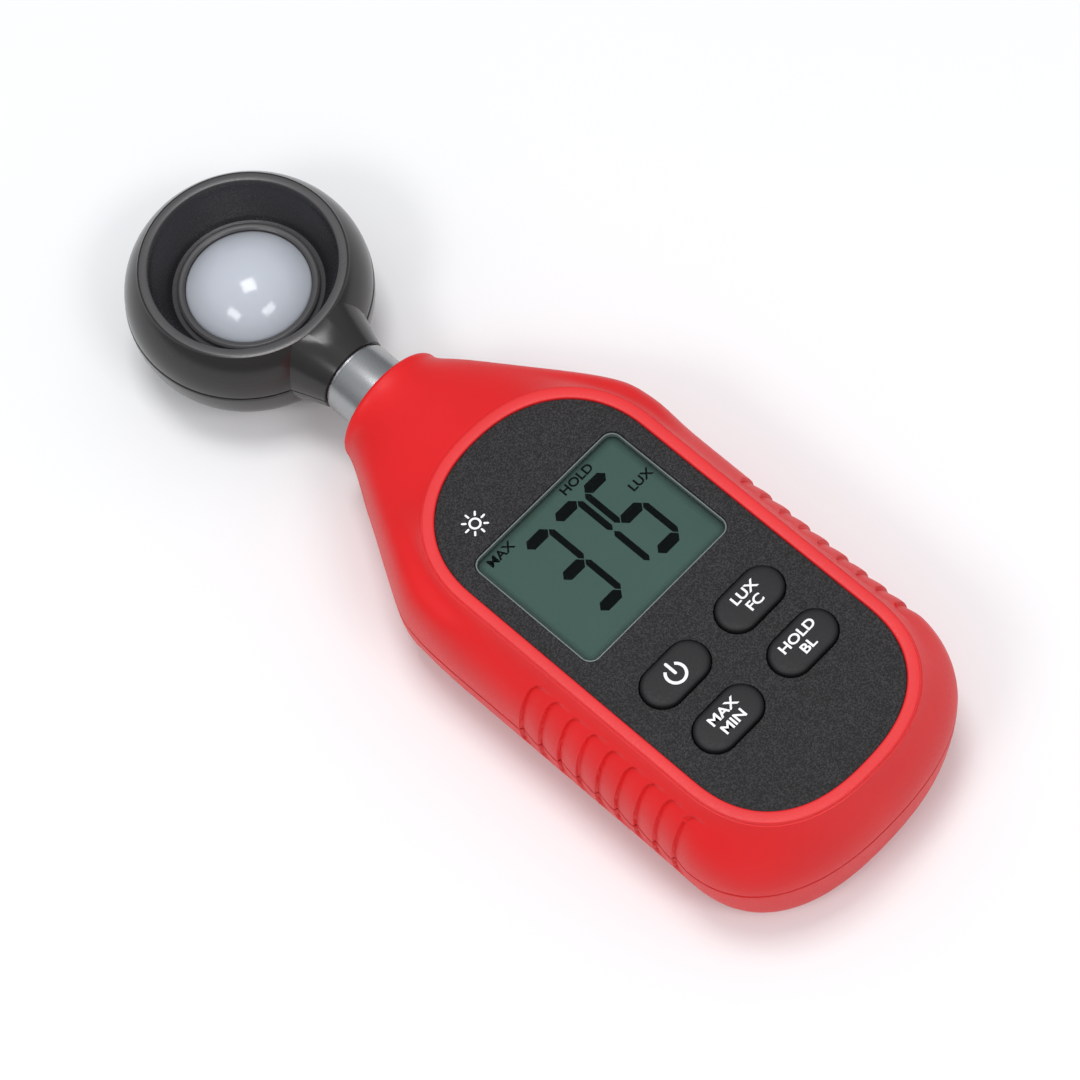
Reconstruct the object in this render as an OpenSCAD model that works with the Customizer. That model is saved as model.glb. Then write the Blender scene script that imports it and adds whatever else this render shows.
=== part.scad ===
// Handheld light meter: a red two-part case with a black control panel, and a
// round sensor head that swivels about the neck. Millimetres. The meter lies on
// its back with the display up: +Z up, +Y along the length towards the head.
// The origin is the centre of the bounding box, on the resting plane.

/* [Case] */
// Length over the case and the sensor head
overall_len = 160; // [159:0.5:161]
// Greatest width of the case, at the split line
case_w = 53.7; // [53:0.1:54.4]
// Wall thickness of the two case shells
case_wall = 1.8; // [1.6:0.1:2]
// Height of the split line and of the neck axis
split_z = 13.4; // [13.2:0.1:13.6]
// Height of the control panel's face
panel_z = 27.3; // [27.1:0.1:27.4]
// How far the raised band stands above the panel
band_rise = 0.4; // [0.2:0.1:0.6]
// Radius of the neck boss at its open end
boss_r = 10.15; // [10:0.05:10.3]
// Place of the neck boss's open end along the case
boss_y = 27.9; // [27.6:0.1:28.2]
// Number of grip grooves on each side
groove_count = 9; // [5:1:9]
// Spacing of the grip grooves
groove_pitch = 3.96; // [3.8:0.02:4]

/* [Control panel] */
// Width of the panel
panel_w = 38.2; // [37.6:0.1:38.6]
// Thickness of the panel plate
panel_t = 1.2; // [1:0.1:1.3]
// Width of the display window
window_w = 31.6; // [31:0.1:32]
// Length of the display window
window_l = 25.4; // [25:0.1:25.8]
// Length of a button cap, across the case
button_l = 12.5; // [12:0.1:12.8]
// Width of a button cap, along the case
button_w = 7; // [6.6:0.1:7.2]
// How far a button cap stands above the panel
button_rise = 0.7; // [0.5:0.1:0.9]
// Gap round a button cap
button_gap = 0.3; // [0.25:0.05:0.4]

/* [Sensor head] */
// Radius of the head at its split line
head_r = 20.3; // [20.1:0.1:20.5]
// Height of the bowl's rim
rim_z = 21.65; // [21.4:0.05:21.9]
// Wall thickness of the head shells
head_wall = 1.6; // [1.4:0.1:1.8]
// Radius of the white diffuser dome at its edge
dome_r = 10.3; // [10:0.1:10.4]
// Height of the diffuser dome above its edge
dome_h = 5.1; // [4.6:0.1:5.4]
// Radius of the silver neck sleeve
sleeve_r = 6.32; // [6.2:0.02:6.4]

/* [Swivel] */
// Radius of the hollow swivel shaft
shaft_r = 4.2; // [4:0.1:4.3]
// Radial running clearance of the shaft in its bush
shaft_fit = 0.05; // [0.03:0.01:0.08]
// Angle that the head turns each way from straight ahead
swivel_half = 135; // [120:5:135]

/* [Batteries] */
// Diameter of a battery cell
cell_d = 10.4; // [10.2:0.1:10.5]
// Length of a battery cell with its button
cell_l = 44.5; // [43.8:0.1:44.5]
// Spacing of the three cells
cell_pitch = 10.8; // [10.6:0.1:10.9]

/* [Hidden] */
$fn = 64;
eps = 0.01;

// Case outlines
half_w = case_w / 2;
front_y = -overall_len / 2;
head_y = overall_len / 2 - head_r;
panel_half = panel_w / 2;
panel_top = 7.1;
panel_low = -72.45;
panel_top_arc = 17.6;
panel_low_arc = 16.9;
band_w = 2.3;
back_half = 21;
back_top = 12;
back_low = -76;
back_top_arc = 14;
back_low_arc = 8;
end_arc = 19.2;
side_top_y = -4;
shoulder_x = 13.6;
shoulder_y = 20.55;
shoulder_end_x = 24.4;
shoulder_end_y = 2.6;
top_bulge = 2.2;
low_bulge = 2.4;
end_bulge = 2.35;

// Numbers of points along each stretch of an outline, and rows up a shell
n_arc = 9;
n_shoulder = 9;
n_side = 6;
n_top = n_arc + n_shoulder;
n_end = 12;
n_rows = 7;
start_pull = 0.32;
end_pull = 0.48;

// Depths inside the case
face_wall = 1.4;
inner_top_z = panel_z - panel_t - face_wall;
back_wall = 2.4;
hollow_y = 16.5;
groove_top_y = -26.6;
groove_h = 17;
board_z = 17.4;
board_t = 1.6;
board_half = 19;
board_top_y = -2.5;
board_low_y = -63;
board_face = board_z + board_t;

// Display
window_y = -19.55;
glass_w = 34;
glass_l = 28.6;
glass_z = 22.7;
glass_t = 1.8;
holder_w = 36;
holder_l = 31;
holder_inset = 1.15;
strip_w = 2.2;

// Buttons: across, along
button_x = 8.31;
button_y1 = -42.62;
button_y2 = -53.41;
button_top = panel_z + button_rise;
button_low = board_face + 1.2;
pill_t = 0.2;
BUTTONS = [[-button_x, button_y1], [button_x, button_y1],
    [-button_x, button_y2], [button_x, button_y2]];

// Posts and screws
POST_TOP = [[-13, 5.5], [13, 5.5]];
POST_LOW = [[-12.5, -69.4], [12.5, -69.4]];
BOARD_POSTS = [[-17, -37.3], [17, -37.3], [-17, -60.5], [17, -60.5]];
post_r = 3;
screw_r = 1.1;
screw_head_r = 2.1;
screw_head_h = 1.5;
screw_seat_z = 3.4;
driver_slot = 0.44;
board_post_r = 1.8;
board_screw_r = 0.9;

// Battery bay, door and its screw
bay_half = 16.6;
bay_top_y = -16.5;
bay_low_y = -65.5;
bay_roof = 13;
bay_wall = 1.2;
cell_z = 7.4;
CELL_X = [-cell_pitch, 0, cell_pitch];
plate_t = 0.4;
LEADS = [[-cell_pitch, bay_top_y - 0.9], [cell_pitch, bay_low_y + 0.9]];
door_half = 17.4;
door_top_y = -15.7;
door_low_y = -72.8;
door_z = 0.15;
door_t = 1.2;
door_gap = 0.2;
door_screw_y = -69.3;
door_screw_r = 1.25;
door_screw_head_r = 2.3;
insert_r = 1.9;
insert_z = 2.2;
insert_l = 5.6;
arrow_bars = 6;
arrow_y = -24;
arrow_pitch = 2.2;

// Swivel
bush_r = 7.6;
bush_y0 = 17.8;
bush_y1 = 24;
stop_y0 = 15.4;
lug_half = 20;
stop_half = 180 - swivel_half - lug_half - 0.5;
lug_r = 6.4;
sleeve_y0 = 24.5;
sleeve_y1 = 35.3;
boss_bore = sleeve_r + 0.35;
shaft_y0 = 15.5;
shaft_y1 = 42.2;
stub_y0 = 35.8;
stub_r0 = 6.55;
stub_y1 = 43;
stub_r1 = 9.5;
cable_r = 1.3;

// Head
head_dome = 15.1;
head_low = 0.5;
rear_bulge = 2.6;
rim_in_r = 15.5;
bowl_r = 12.6;
bowl_z = 13.9;
bowl_floor = 1.3;
ring_out_r = 11.72;
ring_z = 14.75;
dome_wall = 1.2;
holder_out_r = 11.5;
holder_in_r = 9.8;
sensor_board_z = 7;
sensor_board_t = 1.2;
filter_z = 10.4;
filter_t = 1;
HEAD_POSTS = [90, 210, 330];
head_post_ring = 16;
head_seat_z = 6.3;
head_screw_h = 1.4;

// ---- outline functions ----

// A quarter of a superellipse: the corner curve that rounds every outline
function corner(a, b, k, u) =
    [a * pow(max(0, sin(u)), 2 / k), b * pow(max(0, cos(u)), 2 / k)];

// Right half of a tablet outline, from its top centre down to its low centre
function tablet_half(half, top, low, arc_top, arc_low) = concat(
    [for (i = [0:n_top - 1]) let (p = corner(half, arc_top, top_bulge, 90 * i / n_top))
        [p[0], top - arc_top + p[1]]],
    [for (i = [0:n_side - 1]) let (k = i / n_side)
        [half, (1 - k) * (top - arc_top) + k * (low + arc_low)]],
    [for (i = [0:n_end]) let (p = corner(half, arc_low, low_bulge, 90 - 90 * i / n_end))
        [p[0], low + arc_low - p[1]]]);

// Angle round the neck axis of a point on the boss's open end
function boss_angle(i) = 90 * (1 - i / n_arc);
// Right half of the case's plan at the split line, from the boss to the low end
function plan_side() = concat(
    [for (i = [1:n_shoulder - 1]) let (k = (i - 1) / (n_shoulder - 2))
        i == 1 ? [boss_r + 0.4, boss_y - 4] :
        [(1 - k) * shoulder_x + k * shoulder_end_x, (1 - k) * shoulder_y + k * shoulder_end_y]],
    [for (i = [0:n_side]) let (k = i / n_side)
        i == 0 ? [half_w - 0.5, side_top_y + 3] :
        [half_w, (1 - k) * side_top_y + k * (front_y + end_arc)]],
    [for (i = [1:n_end]) let (p = corner(half_w, end_arc, end_bulge, 90 - 90 * i / n_end))
        [p[0], front_y + end_arc - p[1]]]);
function unit(v) = v / norm(v);
function inset(pts, t) = [for (i = [0:len(pts) - 1])
    let (a = pts[max(0, i - 1)], b = pts[min(len(pts) - 1, i + 1)], d = unit(b - a))
        i == len(pts) - 1 ? pts[i] + [0, t] : pts[i] + t * [d[1], -d[0]]];

// Bezier spoke from a point on the flat cap to the outer edge
function bezier(a, b, c, d, u) =
    pow(1 - u, 3) * a + 3 * pow(1 - u, 2) * u * b + 3 * (1 - u) * u * u * c + u * u * u * d;

// Outer edge of one shell: half circle at the boss, then the plan at the split
function edge_half(side) = concat(
    [for (i = [0:n_arc]) let (a = boss_angle(i))
        [boss_r * cos(a), boss_y, split_z + side * boss_r * sin(a)]],
    [for (p = plan_side()) [p[0], p[1], split_z]]);
function edge_dir(i, side) = i > n_arc ? [0, 0, -side] :
    let (a = boss_angle(i), k = 1 - a / 90)
        unit((1 - k) * [0, 1, 0] + k * [sin(a), 0, -side * cos(a)]);

// One half of the case as a closed solid: side is 1 in front and -1 behind.
// Spokes run from the flat cap's outline out and down to the split line.
module half_form(side, cap_outline, cap_z, slope) {
    cap = [for (p = cap_outline) [p[0], p[1], cap_z]];
    edge = edge_half(side);
    count = len(edge);
    around = 2 * count - 2;
    function spoke(i, u) = let (
        out = unit([edge[i][0] - cap[i][0], edge[i][1] - cap[i][1]]),
        far = norm(edge[i] - cap[i]),
        start = unit([out[0], out[1], -side * slope]))
        bezier(cap[i], cap[i] + start_pull * far * start,
            edge[i] - end_pull * far * edge_dir(i, side), edge[i], u);
    function row(u) = let (h = [for (i = [0:count - 1]) spoke(i, u)])
        concat(h, [for (i = [count - 2:-1:1]) [-h[i][0], h[i][1], h[i][2]]]);
    last = n_rows * around;
    walls = [for (j = [0:n_rows - 1]) for (i = [0:around - 1]) let (
        a = j * around + i, b = j * around + (i + 1) % around,
        c = a + around, d = b + around)
        each [[a, b, d], [a, d, c]]];
    // flat faces run in strips between mirrored points
    function strip(base, first, end) = [for (i = [first:end]) let (
        a = base + i, b = base + i + 1,
        c = base + around - i - 1, d = base + (around - i) % around)
        each i == 0 ? [[a, b, c]] : i == count - 2 ? [[a, b, d]] : [[a, b, c], [a, c, d]]];
    cap_face = [for (t = strip(0, 0, count - 2)) [t[2], t[1], t[0]]];
    end_face = strip(last, 0, n_arc - 1);
    split_face = strip(last, n_arc, count - 2);
    faces = concat(walls, cap_face, end_face, split_face);
    polyhedron(points = [for (j = [0:n_rows]) each row(j / n_rows)],
        faces = side < 0 ? faces : [for (f = faces) [f[2], f[1], f[0]]]);
}
module front_form() {
    half_form(1, tablet_half(panel_half + band_w, panel_top + band_w, panel_low - band_w,
        panel_top_arc + band_w, panel_low_arc + band_w), panel_z, 0.9);
}
module rear_form() {
    half_form(-1, tablet_half(back_half, back_top, back_low, back_top_arc, back_low_arc), 0, 0);
}
// A straight-sided hollow that follows the plan of the case, t inside it
module hollow(t, z0, z1) {
    slope = (shoulder_end_x - shoulder_x) / (shoulder_y - shoulder_end_y);
    first_x = shoulder_x + slope * (shoulder_y - hollow_y) - t * norm([1, slope]);
    side = [for (p = inset(plan_side(), t)) if (p[1] < hollow_y - 1) p];
    translate([0, 0, z0]) linear_extrude(z1 - z0)
        polygon(loop(concat([[0, hollow_y], [first_x, hollow_y]], side)));
}

// ---- shared shapes ----

function loop(half) = concat(half, [for (i = [len(half) - 2:-1:1]) [-half[i][0], half[i][1]]]);
module panel_plate(grow, z, h) {
    translate([0, 0, z]) linear_extrude(h) polygon(loop(tablet_half(panel_half + grow,
        panel_top + grow, panel_low - grow, panel_top_arc + grow, panel_low_arc + grow)));
}
module pill(l, w, z, h) {
    translate([0, 0, z]) {
        translate([-(l - w) / 2, -w / 2, 0]) cube([l - w, w, h]);
        for (s = [-1, 1]) translate([s * (l - w) / 2, 0, 0]) cylinder(r = w / 2, h = h);
    }
}
module round_box(w, l, r, z, h) {
    translate([0, 0, z]) {
        translate([-w / 2 + r, -l / 2, 0]) cube([w - 2 * r, l, h]);
        translate([-w / 2, -l / 2 + r, 0]) cube([w, l - 2 * r, h]);
        for (x = [-1, 1]) for (y = [-1, 1])
            translate([x * (w / 2 - r), y * (l / 2 - r), 0]) cylinder(r = r, h = h);
    }
}
module box(x0, x1, y0, y1, z0, z1) {
    translate([x0, y0, z0]) cube([x1 - x0, y1 - y0, z1 - z0]);
}
module at(points) {
    for (p = points) translate([p[0], p[1], 0]) children();
}
// A round bar along the neck axis from y0 to y1
module neck_bar(y0, y1, r0, r1) {
    translate([0, y0, split_z]) rotate([-90, 45, 0]) cylinder(r1 = r0, r2 = r1, h = y1 - y0);
}
module about_head() {
    translate([0, head_y, 0]) children();
}
module above_split() {
    intersection() {
        children();
        box(-40, 40, -90, 90, split_z, 60);
    }
}
module below_split() {
    intersection() {
        children();
        box(-40, 40, -90, 90, -20, split_z);
    }
}
module button_holes(grow, z, h) {
    at(BUTTONS) pill(button_l + 2 * grow, button_w + 2 * grow, z, h);
}
module grip_grooves() {
    for (i = [0:groove_count - 1]) for (s = [-1, 1])
        translate([s * (half_w + 0.1), groove_top_y - i * groove_pitch, split_z])
            rotate([0, 0, 45]) cube([1, 1, groove_h], center = true);
}
// Stepped bore of the neck: sleeve clearance, bush seat, room for the stop lug
module neck_bores() {
    neck_bar(bush_y1 + 0.5, boss_y + 1, boss_bore, boss_bore);
    neck_bar(bush_y0, bush_y1 + 0.6, bush_r, bush_r);
    neck_bar(hollow_y - 2.5, bush_y0 + 0.1, bush_r + 0.3, bush_r + 0.3);
}

// ---- case ----

module front_case() {
    color("crimson") difference() {
        union() {
            difference() {
                front_form();
                hollow(case_wall + 0.5, split_z - 1, 18.5);
                hollow(case_wall + 2, 18, 21.5);
                panel_plate(-1, 21, inner_top_z - 21);
            }
            panel_plate(band_w - 0.3, panel_z - 0.5, band_rise + 0.5);
            at(concat(POST_TOP, POST_LOW)) translate([0, 0, split_z])
                cylinder(r = post_r, h = inner_top_z - split_z + 0.5, $fn = 24);
            at(BOARD_POSTS) translate([0, 0, board_face])
                cylinder(r = board_post_r, h = inner_top_z - board_face + 0.5, $fn = 24);
        }
        panel_plate(0, panel_z - panel_t, 3);
        translate([0, window_y, 0]) round_box(window_w - 0.8, window_l - 0.8, 1.6, 20, 9);
        button_holes(button_gap, 20, 9);
        neck_bores();
        at(concat(POST_TOP, POST_LOW)) translate([0, 0, split_z - 1])
            cylinder(r = screw_r, h = 9, $fn = 24);
        at(BOARD_POSTS) translate([0, 0, board_face - 1])
            cylinder(r = board_screw_r, h = 5, $fn = 24);
        grip_grooves();
    }
}
module rear_case() {
    color("firebrick") difference() {
        union() {
            difference() {
                rear_form();
                hollow(case_wall + 0.5, 9, split_z + 1);
                hollow(case_wall + 2, 5, 9.5);
                hollow(case_wall + 6, back_wall, 5.5);
            }
            box(-bay_half - bay_wall, bay_half + bay_wall, bay_low_y - bay_wall,
                bay_top_y + bay_wall, 1, bay_roof + bay_wall);
            at(POST_TOP) translate([0, 0, 1]) cylinder(r = post_r, h = split_z - 1, $fn = 24);
            at(POST_LOW) translate([0, 0, 2.5]) cylinder(r = post_r, h = split_z - 2.5, $fn = 24);
            translate([0, door_screw_y, 2.5]) cylinder(r = post_r, h = 8, $fn = 24);
        }
        box(-bay_half, bay_half, bay_low_y, bay_top_y, -1, bay_roof);
        box(-bay_half, bay_half, door_low_y + 1.2, bay_low_y - bay_wall, -1, 2.5);
        box(-door_half - door_gap, door_half + door_gap, door_low_y - door_gap,
            door_top_y + door_gap, -1, door_z + door_t + 0.05);
        neck_bores();
        at(POST_TOP) translate([0, 0, -1]) cylinder(r = screw_head_r + 0.3, h = screw_seat_z + 1, $fn = 24);
        at(POST_LOW) translate([0, 0, 1]) cylinder(r = screw_head_r + 0.3, h = screw_seat_z - 1, $fn = 24);
        at(concat(POST_TOP, POST_LOW)) cylinder(r = screw_r, h = 20, $fn = 24);
        at(concat(POST_TOP, POST_LOW)) cylinder(r = screw_head_r, h = screw_seat_z + screw_head_h, $fn = 24);
        translate([0, door_screw_y, 0]) cylinder(r = insert_r, h = insert_z + insert_l, $fn = 32);
        at(LEADS) translate([0, 0, bay_roof - 1]) cylinder(r = 0.5, h = 4, $fn = 24);
        grip_grooves();
    }
}
module case_screws() {
    color("silver") {
        at(POST_TOP) screw(screw_seat_z, screw_r, screw_head_r, screw_head_h, 16);
        at(POST_LOW) screw(screw_seat_z, screw_r, screw_head_r, screw_head_h, 16);
    }
}
// A screw whose head sits from z to z + head_h with its shank above it
module screw(z, r, head_r, head_h, shank) {
    translate([0, 0, z]) difference() {
        union() {
            cylinder(r = head_r, h = head_h);
            cylinder(r = r, h = head_h + shank);
        }
        for (a = [0, 90]) rotate([0, 0, a])
            box(-head_r * 0.6, head_r * 0.6, -driver_slot / 2, driver_slot / 2, -1, head_h * 0.5);
    }
}

// ---- control panel and display ----

module front_panel() {
    color([0.2, 0.2, 0.2]) difference() {
        panel_plate(0, panel_z - panel_t, panel_t);
        translate([0, window_y, 0]) round_box(window_w, window_l, 2, 20, 9);
        button_holes(button_gap, 20, 9);
    }
}
module display_window() {
    color([0.7, 0.85, 0.8, 0.4]) translate([0, window_y, 0])
        round_box(window_w - 0.1, window_l - 0.1, 1.95, panel_z - panel_t, panel_t - 0.3);
}
module display_glass() {
    color([0.45, 0.55, 0.5]) translate([0, window_y, 0])
        box(-glass_w / 2, glass_w / 2, -glass_l / 2, glass_l / 2, glass_z, glass_z + glass_t);
}
module display_holder() {
    color([0.15, 0.15, 0.15]) intersection() {
        translate([0, window_y, 0]) difference() {
            box(-holder_w / 2, holder_w / 2, -holder_l / 2, holder_l / 2, board_face, inner_top_z - 0.1);
            box(-glass_w / 2, glass_w / 2, -glass_l / 2, glass_l / 2, board_face - 1, 30);
        }
        panel_plate(-holder_inset, board_face, 10);
    }
}
module backlight_plate() {
    color([0.95, 0.95, 0.9]) translate([0, window_y, 0])
        box(-glass_w / 2 + 0.2, glass_w / 2 - 2.4, -glass_l / 2 + strip_w + 0.4,
            glass_l / 2 - strip_w - 0.4, board_face + 0.8, glass_z);
}
module backlight_led() {
    color("white") translate([0, window_y, 0])
        box(glass_w / 2 - 2.2, glass_w / 2 - 0.4, -1.9, 1.9, board_face, board_face + 2.2);
}
module contact_strips() {
    color([0.3, 0.3, 0.3]) translate([0, window_y, 0]) for (s = [-1, 1])
        translate([0, s * (glass_l - strip_w) / 2, 0])
            box(-15, 15, -strip_w / 2 + 0.1, strip_w / 2 - 0.1, board_face, glass_z);
}

// ---- buttons ----

module key_mat() {
    color([0.25, 0.25, 0.25]) difference() {
        box(-18.4, 18.4, -58.4, -38.2, board_face, board_face + 1);
        button_holes(1.1, 10, 20);
        at(BOARD_POSTS) cylinder(r = board_post_r + 0.3, h = 40);
    }
}
// A button: its cap stands above the panel and its foot is wider than the hole
module button(i) {
    color([0.15, 0.15, 0.15]) at([BUTTONS[i]]) {
        pill(button_l, button_w, button_low, button_top - button_low);
        pill(button_l + 1.4, button_w + 1.4, button_low, 1);
    }
}
module button_power() { button(0); }
module button_unit() { button(1); }
module button_range() { button(2); }
module button_hold() { button(3); }
module contact_pill(i) {
    color([0.1, 0.1, 0.1]) at([BUTTONS[i]]) pill(7, 3.4, button_low - pill_t, pill_t);
}
module pill_power() { contact_pill(0); }
module pill_unit() { contact_pill(1); }
module pill_range() { contact_pill(2); }
module pill_hold() { contact_pill(3); }

// ---- main board ----

module main_board() {
    color("darkgreen") difference() {
        box(-board_half, board_half, board_low_y, board_top_y, board_z, board_face);
        at(BOARD_POSTS) cylinder(r = board_screw_r, h = 40);
        at(LEADS) cylinder(r = 0.5, h = 40);
    }
}
module key_pads() {
    color("gold") at(BUTTONS) for (s = [-1, 1])
        translate([s * 2.1, 0, 0]) box(-1.7, 1.7, -1.9, 1.9, board_face, board_face + 0.06);
}
module processor() {
    color([0.08, 0.08, 0.08]) translate([0, window_y, board_z]) epoxy_dome(7, 1.8);
}
// A low dome of epoxy below the board
module epoxy_dome(r, h) {
    ball = (r * r + h * h) / (2 * h);
    rotate([180, 0, 0]) rotate_extrude() intersection() {
        translate([0, h - ball]) circle(ball);
        square([r, h]);
    }
}
module board_parts() {
    color([0.6, 0.5, 0.3]) for (p = [[-12, -10], [-8, -8], [10, -12], [13, -20], [-13, -26],
        [-11, -44], [-6, -48], [4, -42], [9, -47], [12, -54], [-9, -56]])
        translate([p[0], p[1], 0]) box(-1.6, 1.6, -0.8, 0.8, board_z - 0.9, board_z);
}
module clock_crystal() {
    color("silver") translate([8, -31, board_z - 1.5]) rotate([-90, 0, 0]) cylinder(r = 1.5, h = 8);
}
module cable_socket() {
    color("ivory") box(-3, 3, -9, -3, split_z - 2, board_z);
}
module board_screws() {
    color("silver") at(BOARD_POSTS) screw(board_z - 1.1, board_screw_r, 1.7, 1.1, 5);
}

// ---- batteries ----

// A cell whose button points along +Y when side is 1
module cell(i, side) {
    nub = 0.8;
    color("darkorange") translate([CELL_X[i], side > 0 ? bay_top_y - plate_t - cell_l
        : bay_low_y + plate_t + cell_l, cell_z]) rotate([side > 0 ? -90 : 90, 0, 0]) {
        cylinder(r = cell_d / 2, h = cell_l - nub);
        cylinder(r = 1.9, h = cell_l);
    }
}
module battery_1() { cell(0, 1); }
module battery_2() { cell(1, -1); }
module battery_3() { cell(2, 1); }
module battery_springs() {
    gap = bay_top_y - bay_low_y - 2 * plate_t - cell_l;
    color("silver") for (i = [0:2]) {
        s = i == 1 ? -1 : 1;
        translate([CELL_X[i], s > 0 ? bay_low_y + plate_t : bay_top_y - plate_t, cell_z])
            rotate([-90 * s, 0, 0]) difference() {
                cylinder(r1 = 3.4, r2 = 2.4, h = gap);
                translate([0, 0, -1]) cylinder(r = 1.8, h = gap + 2);
            }
    }
}
module battery_plates() {
    color("silver") for (x = CELL_X) for (y = [bay_top_y - plate_t, bay_low_y])
        translate([x, y, 0]) box(-4.4, 4.4, 0, plate_t, cell_z - 4.6, cell_z + 4.6);
}
module battery_leads() {
    color("tomato") at(LEADS) translate([0, 0, bay_roof - 0.2])
        cylinder(r = 0.45, h = board_z - bay_roof + 0.2);
}
module battery_door() {
    color("crimson") difference() {
        box(-door_half, door_half, door_low_y, door_top_y, door_z, door_z + door_t);
        translate([0, door_screw_y, -1]) cylinder(r = door_screw_r + 0.1, h = 5);
        translate([0, door_screw_y, -1]) cylinder(r = door_screw_head_r + 0.1, h = 1.6);
        for (i = [0:arrow_bars - 1]) translate([0, arrow_y - arrow_pitch * i, 0])
            box(i - arrow_bars, arrow_bars - i, -0.5, 0.5, -1, door_z + 0.35);
    }
}
module door_screw() {
    color("silver") translate([0, door_screw_y, 0])
        screw(door_z + 0.05, door_screw_r, door_screw_head_r, 0.4, 5.4);
}
module door_insert() {
    color("goldenrod") translate([0, door_screw_y, insert_z]) difference() {
        cylinder(r = insert_r, h = insert_l);
        translate([0, 0, -1]) cylinder(r = door_screw_r + 0.05, h = 9);
    }
}

// ---- swivel ----

module sector(y0, y1, r0, r1, middle, half) {
    translate([0, y1, split_z]) rotate([90, 0, 0]) rotate([0, 0, middle - half])
        rotate_extrude(angle = 2 * half) translate([r0, 0]) square([r1 - r0, y1 - y0]);
}
module swivel_bush() {
    color("white") {
        difference() {
            neck_bar(bush_y0, bush_y1, bush_r, bush_r);
            neck_bar(bush_y0 - 1, bush_y1 + 1, shaft_r + shaft_fit, shaft_r + shaft_fit);
        }
        sector(stop_y0, bush_y0 + 0.5, shaft_r + 0.4, bush_r - 0.4, 90, stop_half);
    }
}
module swivel_shaft() {
    color([0.2, 0.2, 0.22]) difference() {
        union() {
            neck_bar(shaft_y0, shaft_y1, shaft_r, shaft_r);
            neck_bar(sleeve_y1, stub_y0 + 0.8, stub_r0 - 0.6, stub_r0 - 0.6);
            neck_bar(39, 40.2, 6, 6);
            sector(shaft_y0, bush_y0 - 0.3, shaft_r - 0.5, lug_r, 270, lug_half);
        }
        neck_bar(shaft_y0 - 1, shaft_y1 + 1, 2.6, 2.6);
    }
}
module friction_washer() {
    color([0.1, 0.1, 0.1]) difference() {
        neck_bar(bush_y1 + 0.02, sleeve_y0 - 0.05, sleeve_r, sleeve_r);
        neck_bar(bush_y1 - 1, sleeve_y0 + 1, shaft_r + 0.2, shaft_r + 0.2);
    }
}
module neck_sleeve() {
    color("silver") difference() {
        neck_bar(sleeve_y0, sleeve_y1, sleeve_r, sleeve_r);
        neck_bar(sleeve_y0 - 1, sleeve_y1 + 1, shaft_r, shaft_r);
    }
}
module sensor_cable() {
    color([0.3, 0.3, 0.3]) neck_bar(-3, shaft_y1 + 0.2, cable_r, cable_r);
}

// ---- sensor head ----

// Radius of the head's outside at height z
function dome_at(z) = head_r * sqrt(max(0, 1 - pow((z - split_z) / head_dome, 2)));
function rear_at(z) = let (depth = (split_z - z) / (split_z - head_low + 0.4))
    (head_r + 0.1) * pow(max(0, 1 - pow(depth, rear_bulge)), 1 / rear_bulge);
module stub(grow) {
    neck_bar(stub_y0 - grow, stub_y1, stub_r0 + grow, stub_r1 + grow);
}
module stub_bore() {
    neck_bar(30, 50, shaft_r, shaft_r);
    neck_bar(30, stub_y0 + 0.8, stub_r0 - 0.6, stub_r0 - 0.6);
    neck_bar(39, 40.2, 6, 6);
}
// Solid of revolution of the front shell's outside, t inside it
module head_top(t) {
    n = 12;
    about_head() rotate_extrude() polygon(concat([[0, split_z - 4], [head_r - t, split_z - 4]],
        [for (i = [0:n]) let (z = split_z + (rim_z - split_z) * i / n) [dome_at(z) - t, z]],
        [[0, rim_z]]));
}
module head_low_form(t) {
    n = 14;
    about_head() rotate_extrude() polygon(concat(
        [[0, split_z + t], [head_r + 0.1 - t, split_z + t]],
        [for (i = [0:n]) let (z = split_z + (head_low + t - split_z) * i / n)
            [max(1, rear_at(z - t * i / n) - t), z]],
        [[0, head_low + t]]));
}
// Section of the front shell: the outside, the rim, and the dark bowl inside it
module head_section() {
    n = 10;
    top = rim_z - 1.8;
    polygon(concat(
        [for (i = [0:n]) let (z = split_z + (rim_z - split_z) * i / n) [dome_at(z), z]],
        [[rim_in_r, rim_z + 0.1], [rim_in_r - 0.5, rim_z - 2.4], [bowl_r + 1.2, bowl_z + 3],
            [bowl_r, bowl_z], [holder_in_r, bowl_z], [holder_in_r, bowl_z - bowl_floor],
            [bowl_r + bowl_floor, bowl_z - bowl_floor], [bowl_r + 2.5, bowl_z + 3]],
        [for (i = [0:n]) let (z = top + (split_z - top) * i / n) [dome_at(z) - head_wall, z]]));
}
module head_posts(z0, z1, r) {
    about_head() for (a = HEAD_POSTS) rotate([0, 0, a]) translate([head_post_ring, 0, z0])
        cylinder(r = r, h = z1 - z0);
}
module head_front() {
    color([0.28, 0.27, 0.28]) difference() {
        union() {
            about_head() rotate_extrude() head_section();
            above_split() difference() {
                stub(0);
                head_top(head_wall);
            }
            head_posts(split_z, split_z + 4, 1.9);
        }
        stub_bore();
        head_posts(split_z - 1, split_z + 3, 0.8);
    }
}
module head_rear() {
    color([0.25, 0.24, 0.25]) difference() {
        union() {
            below_split() difference() {
                head_low_form(0);
                head_low_form(head_wall);
            }
            below_split() difference() {
                stub(0);
                head_low_form(head_wall);
            }
            intersection() {
                head_posts(2, split_z, 2.4);
                head_low_form(0.3);
            }
            about_head() for (a = [30, 150, 270]) rotate([0, 0, a]) translate([9, 0, 1.5])
                cylinder(r = 1.5, h = sensor_board_z - 1.5);
        }
        stub_bore();
        head_posts(-1, split_z + 1, 0.8);
        head_posts(-1, head_seat_z, 1.7);
    }
}
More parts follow.
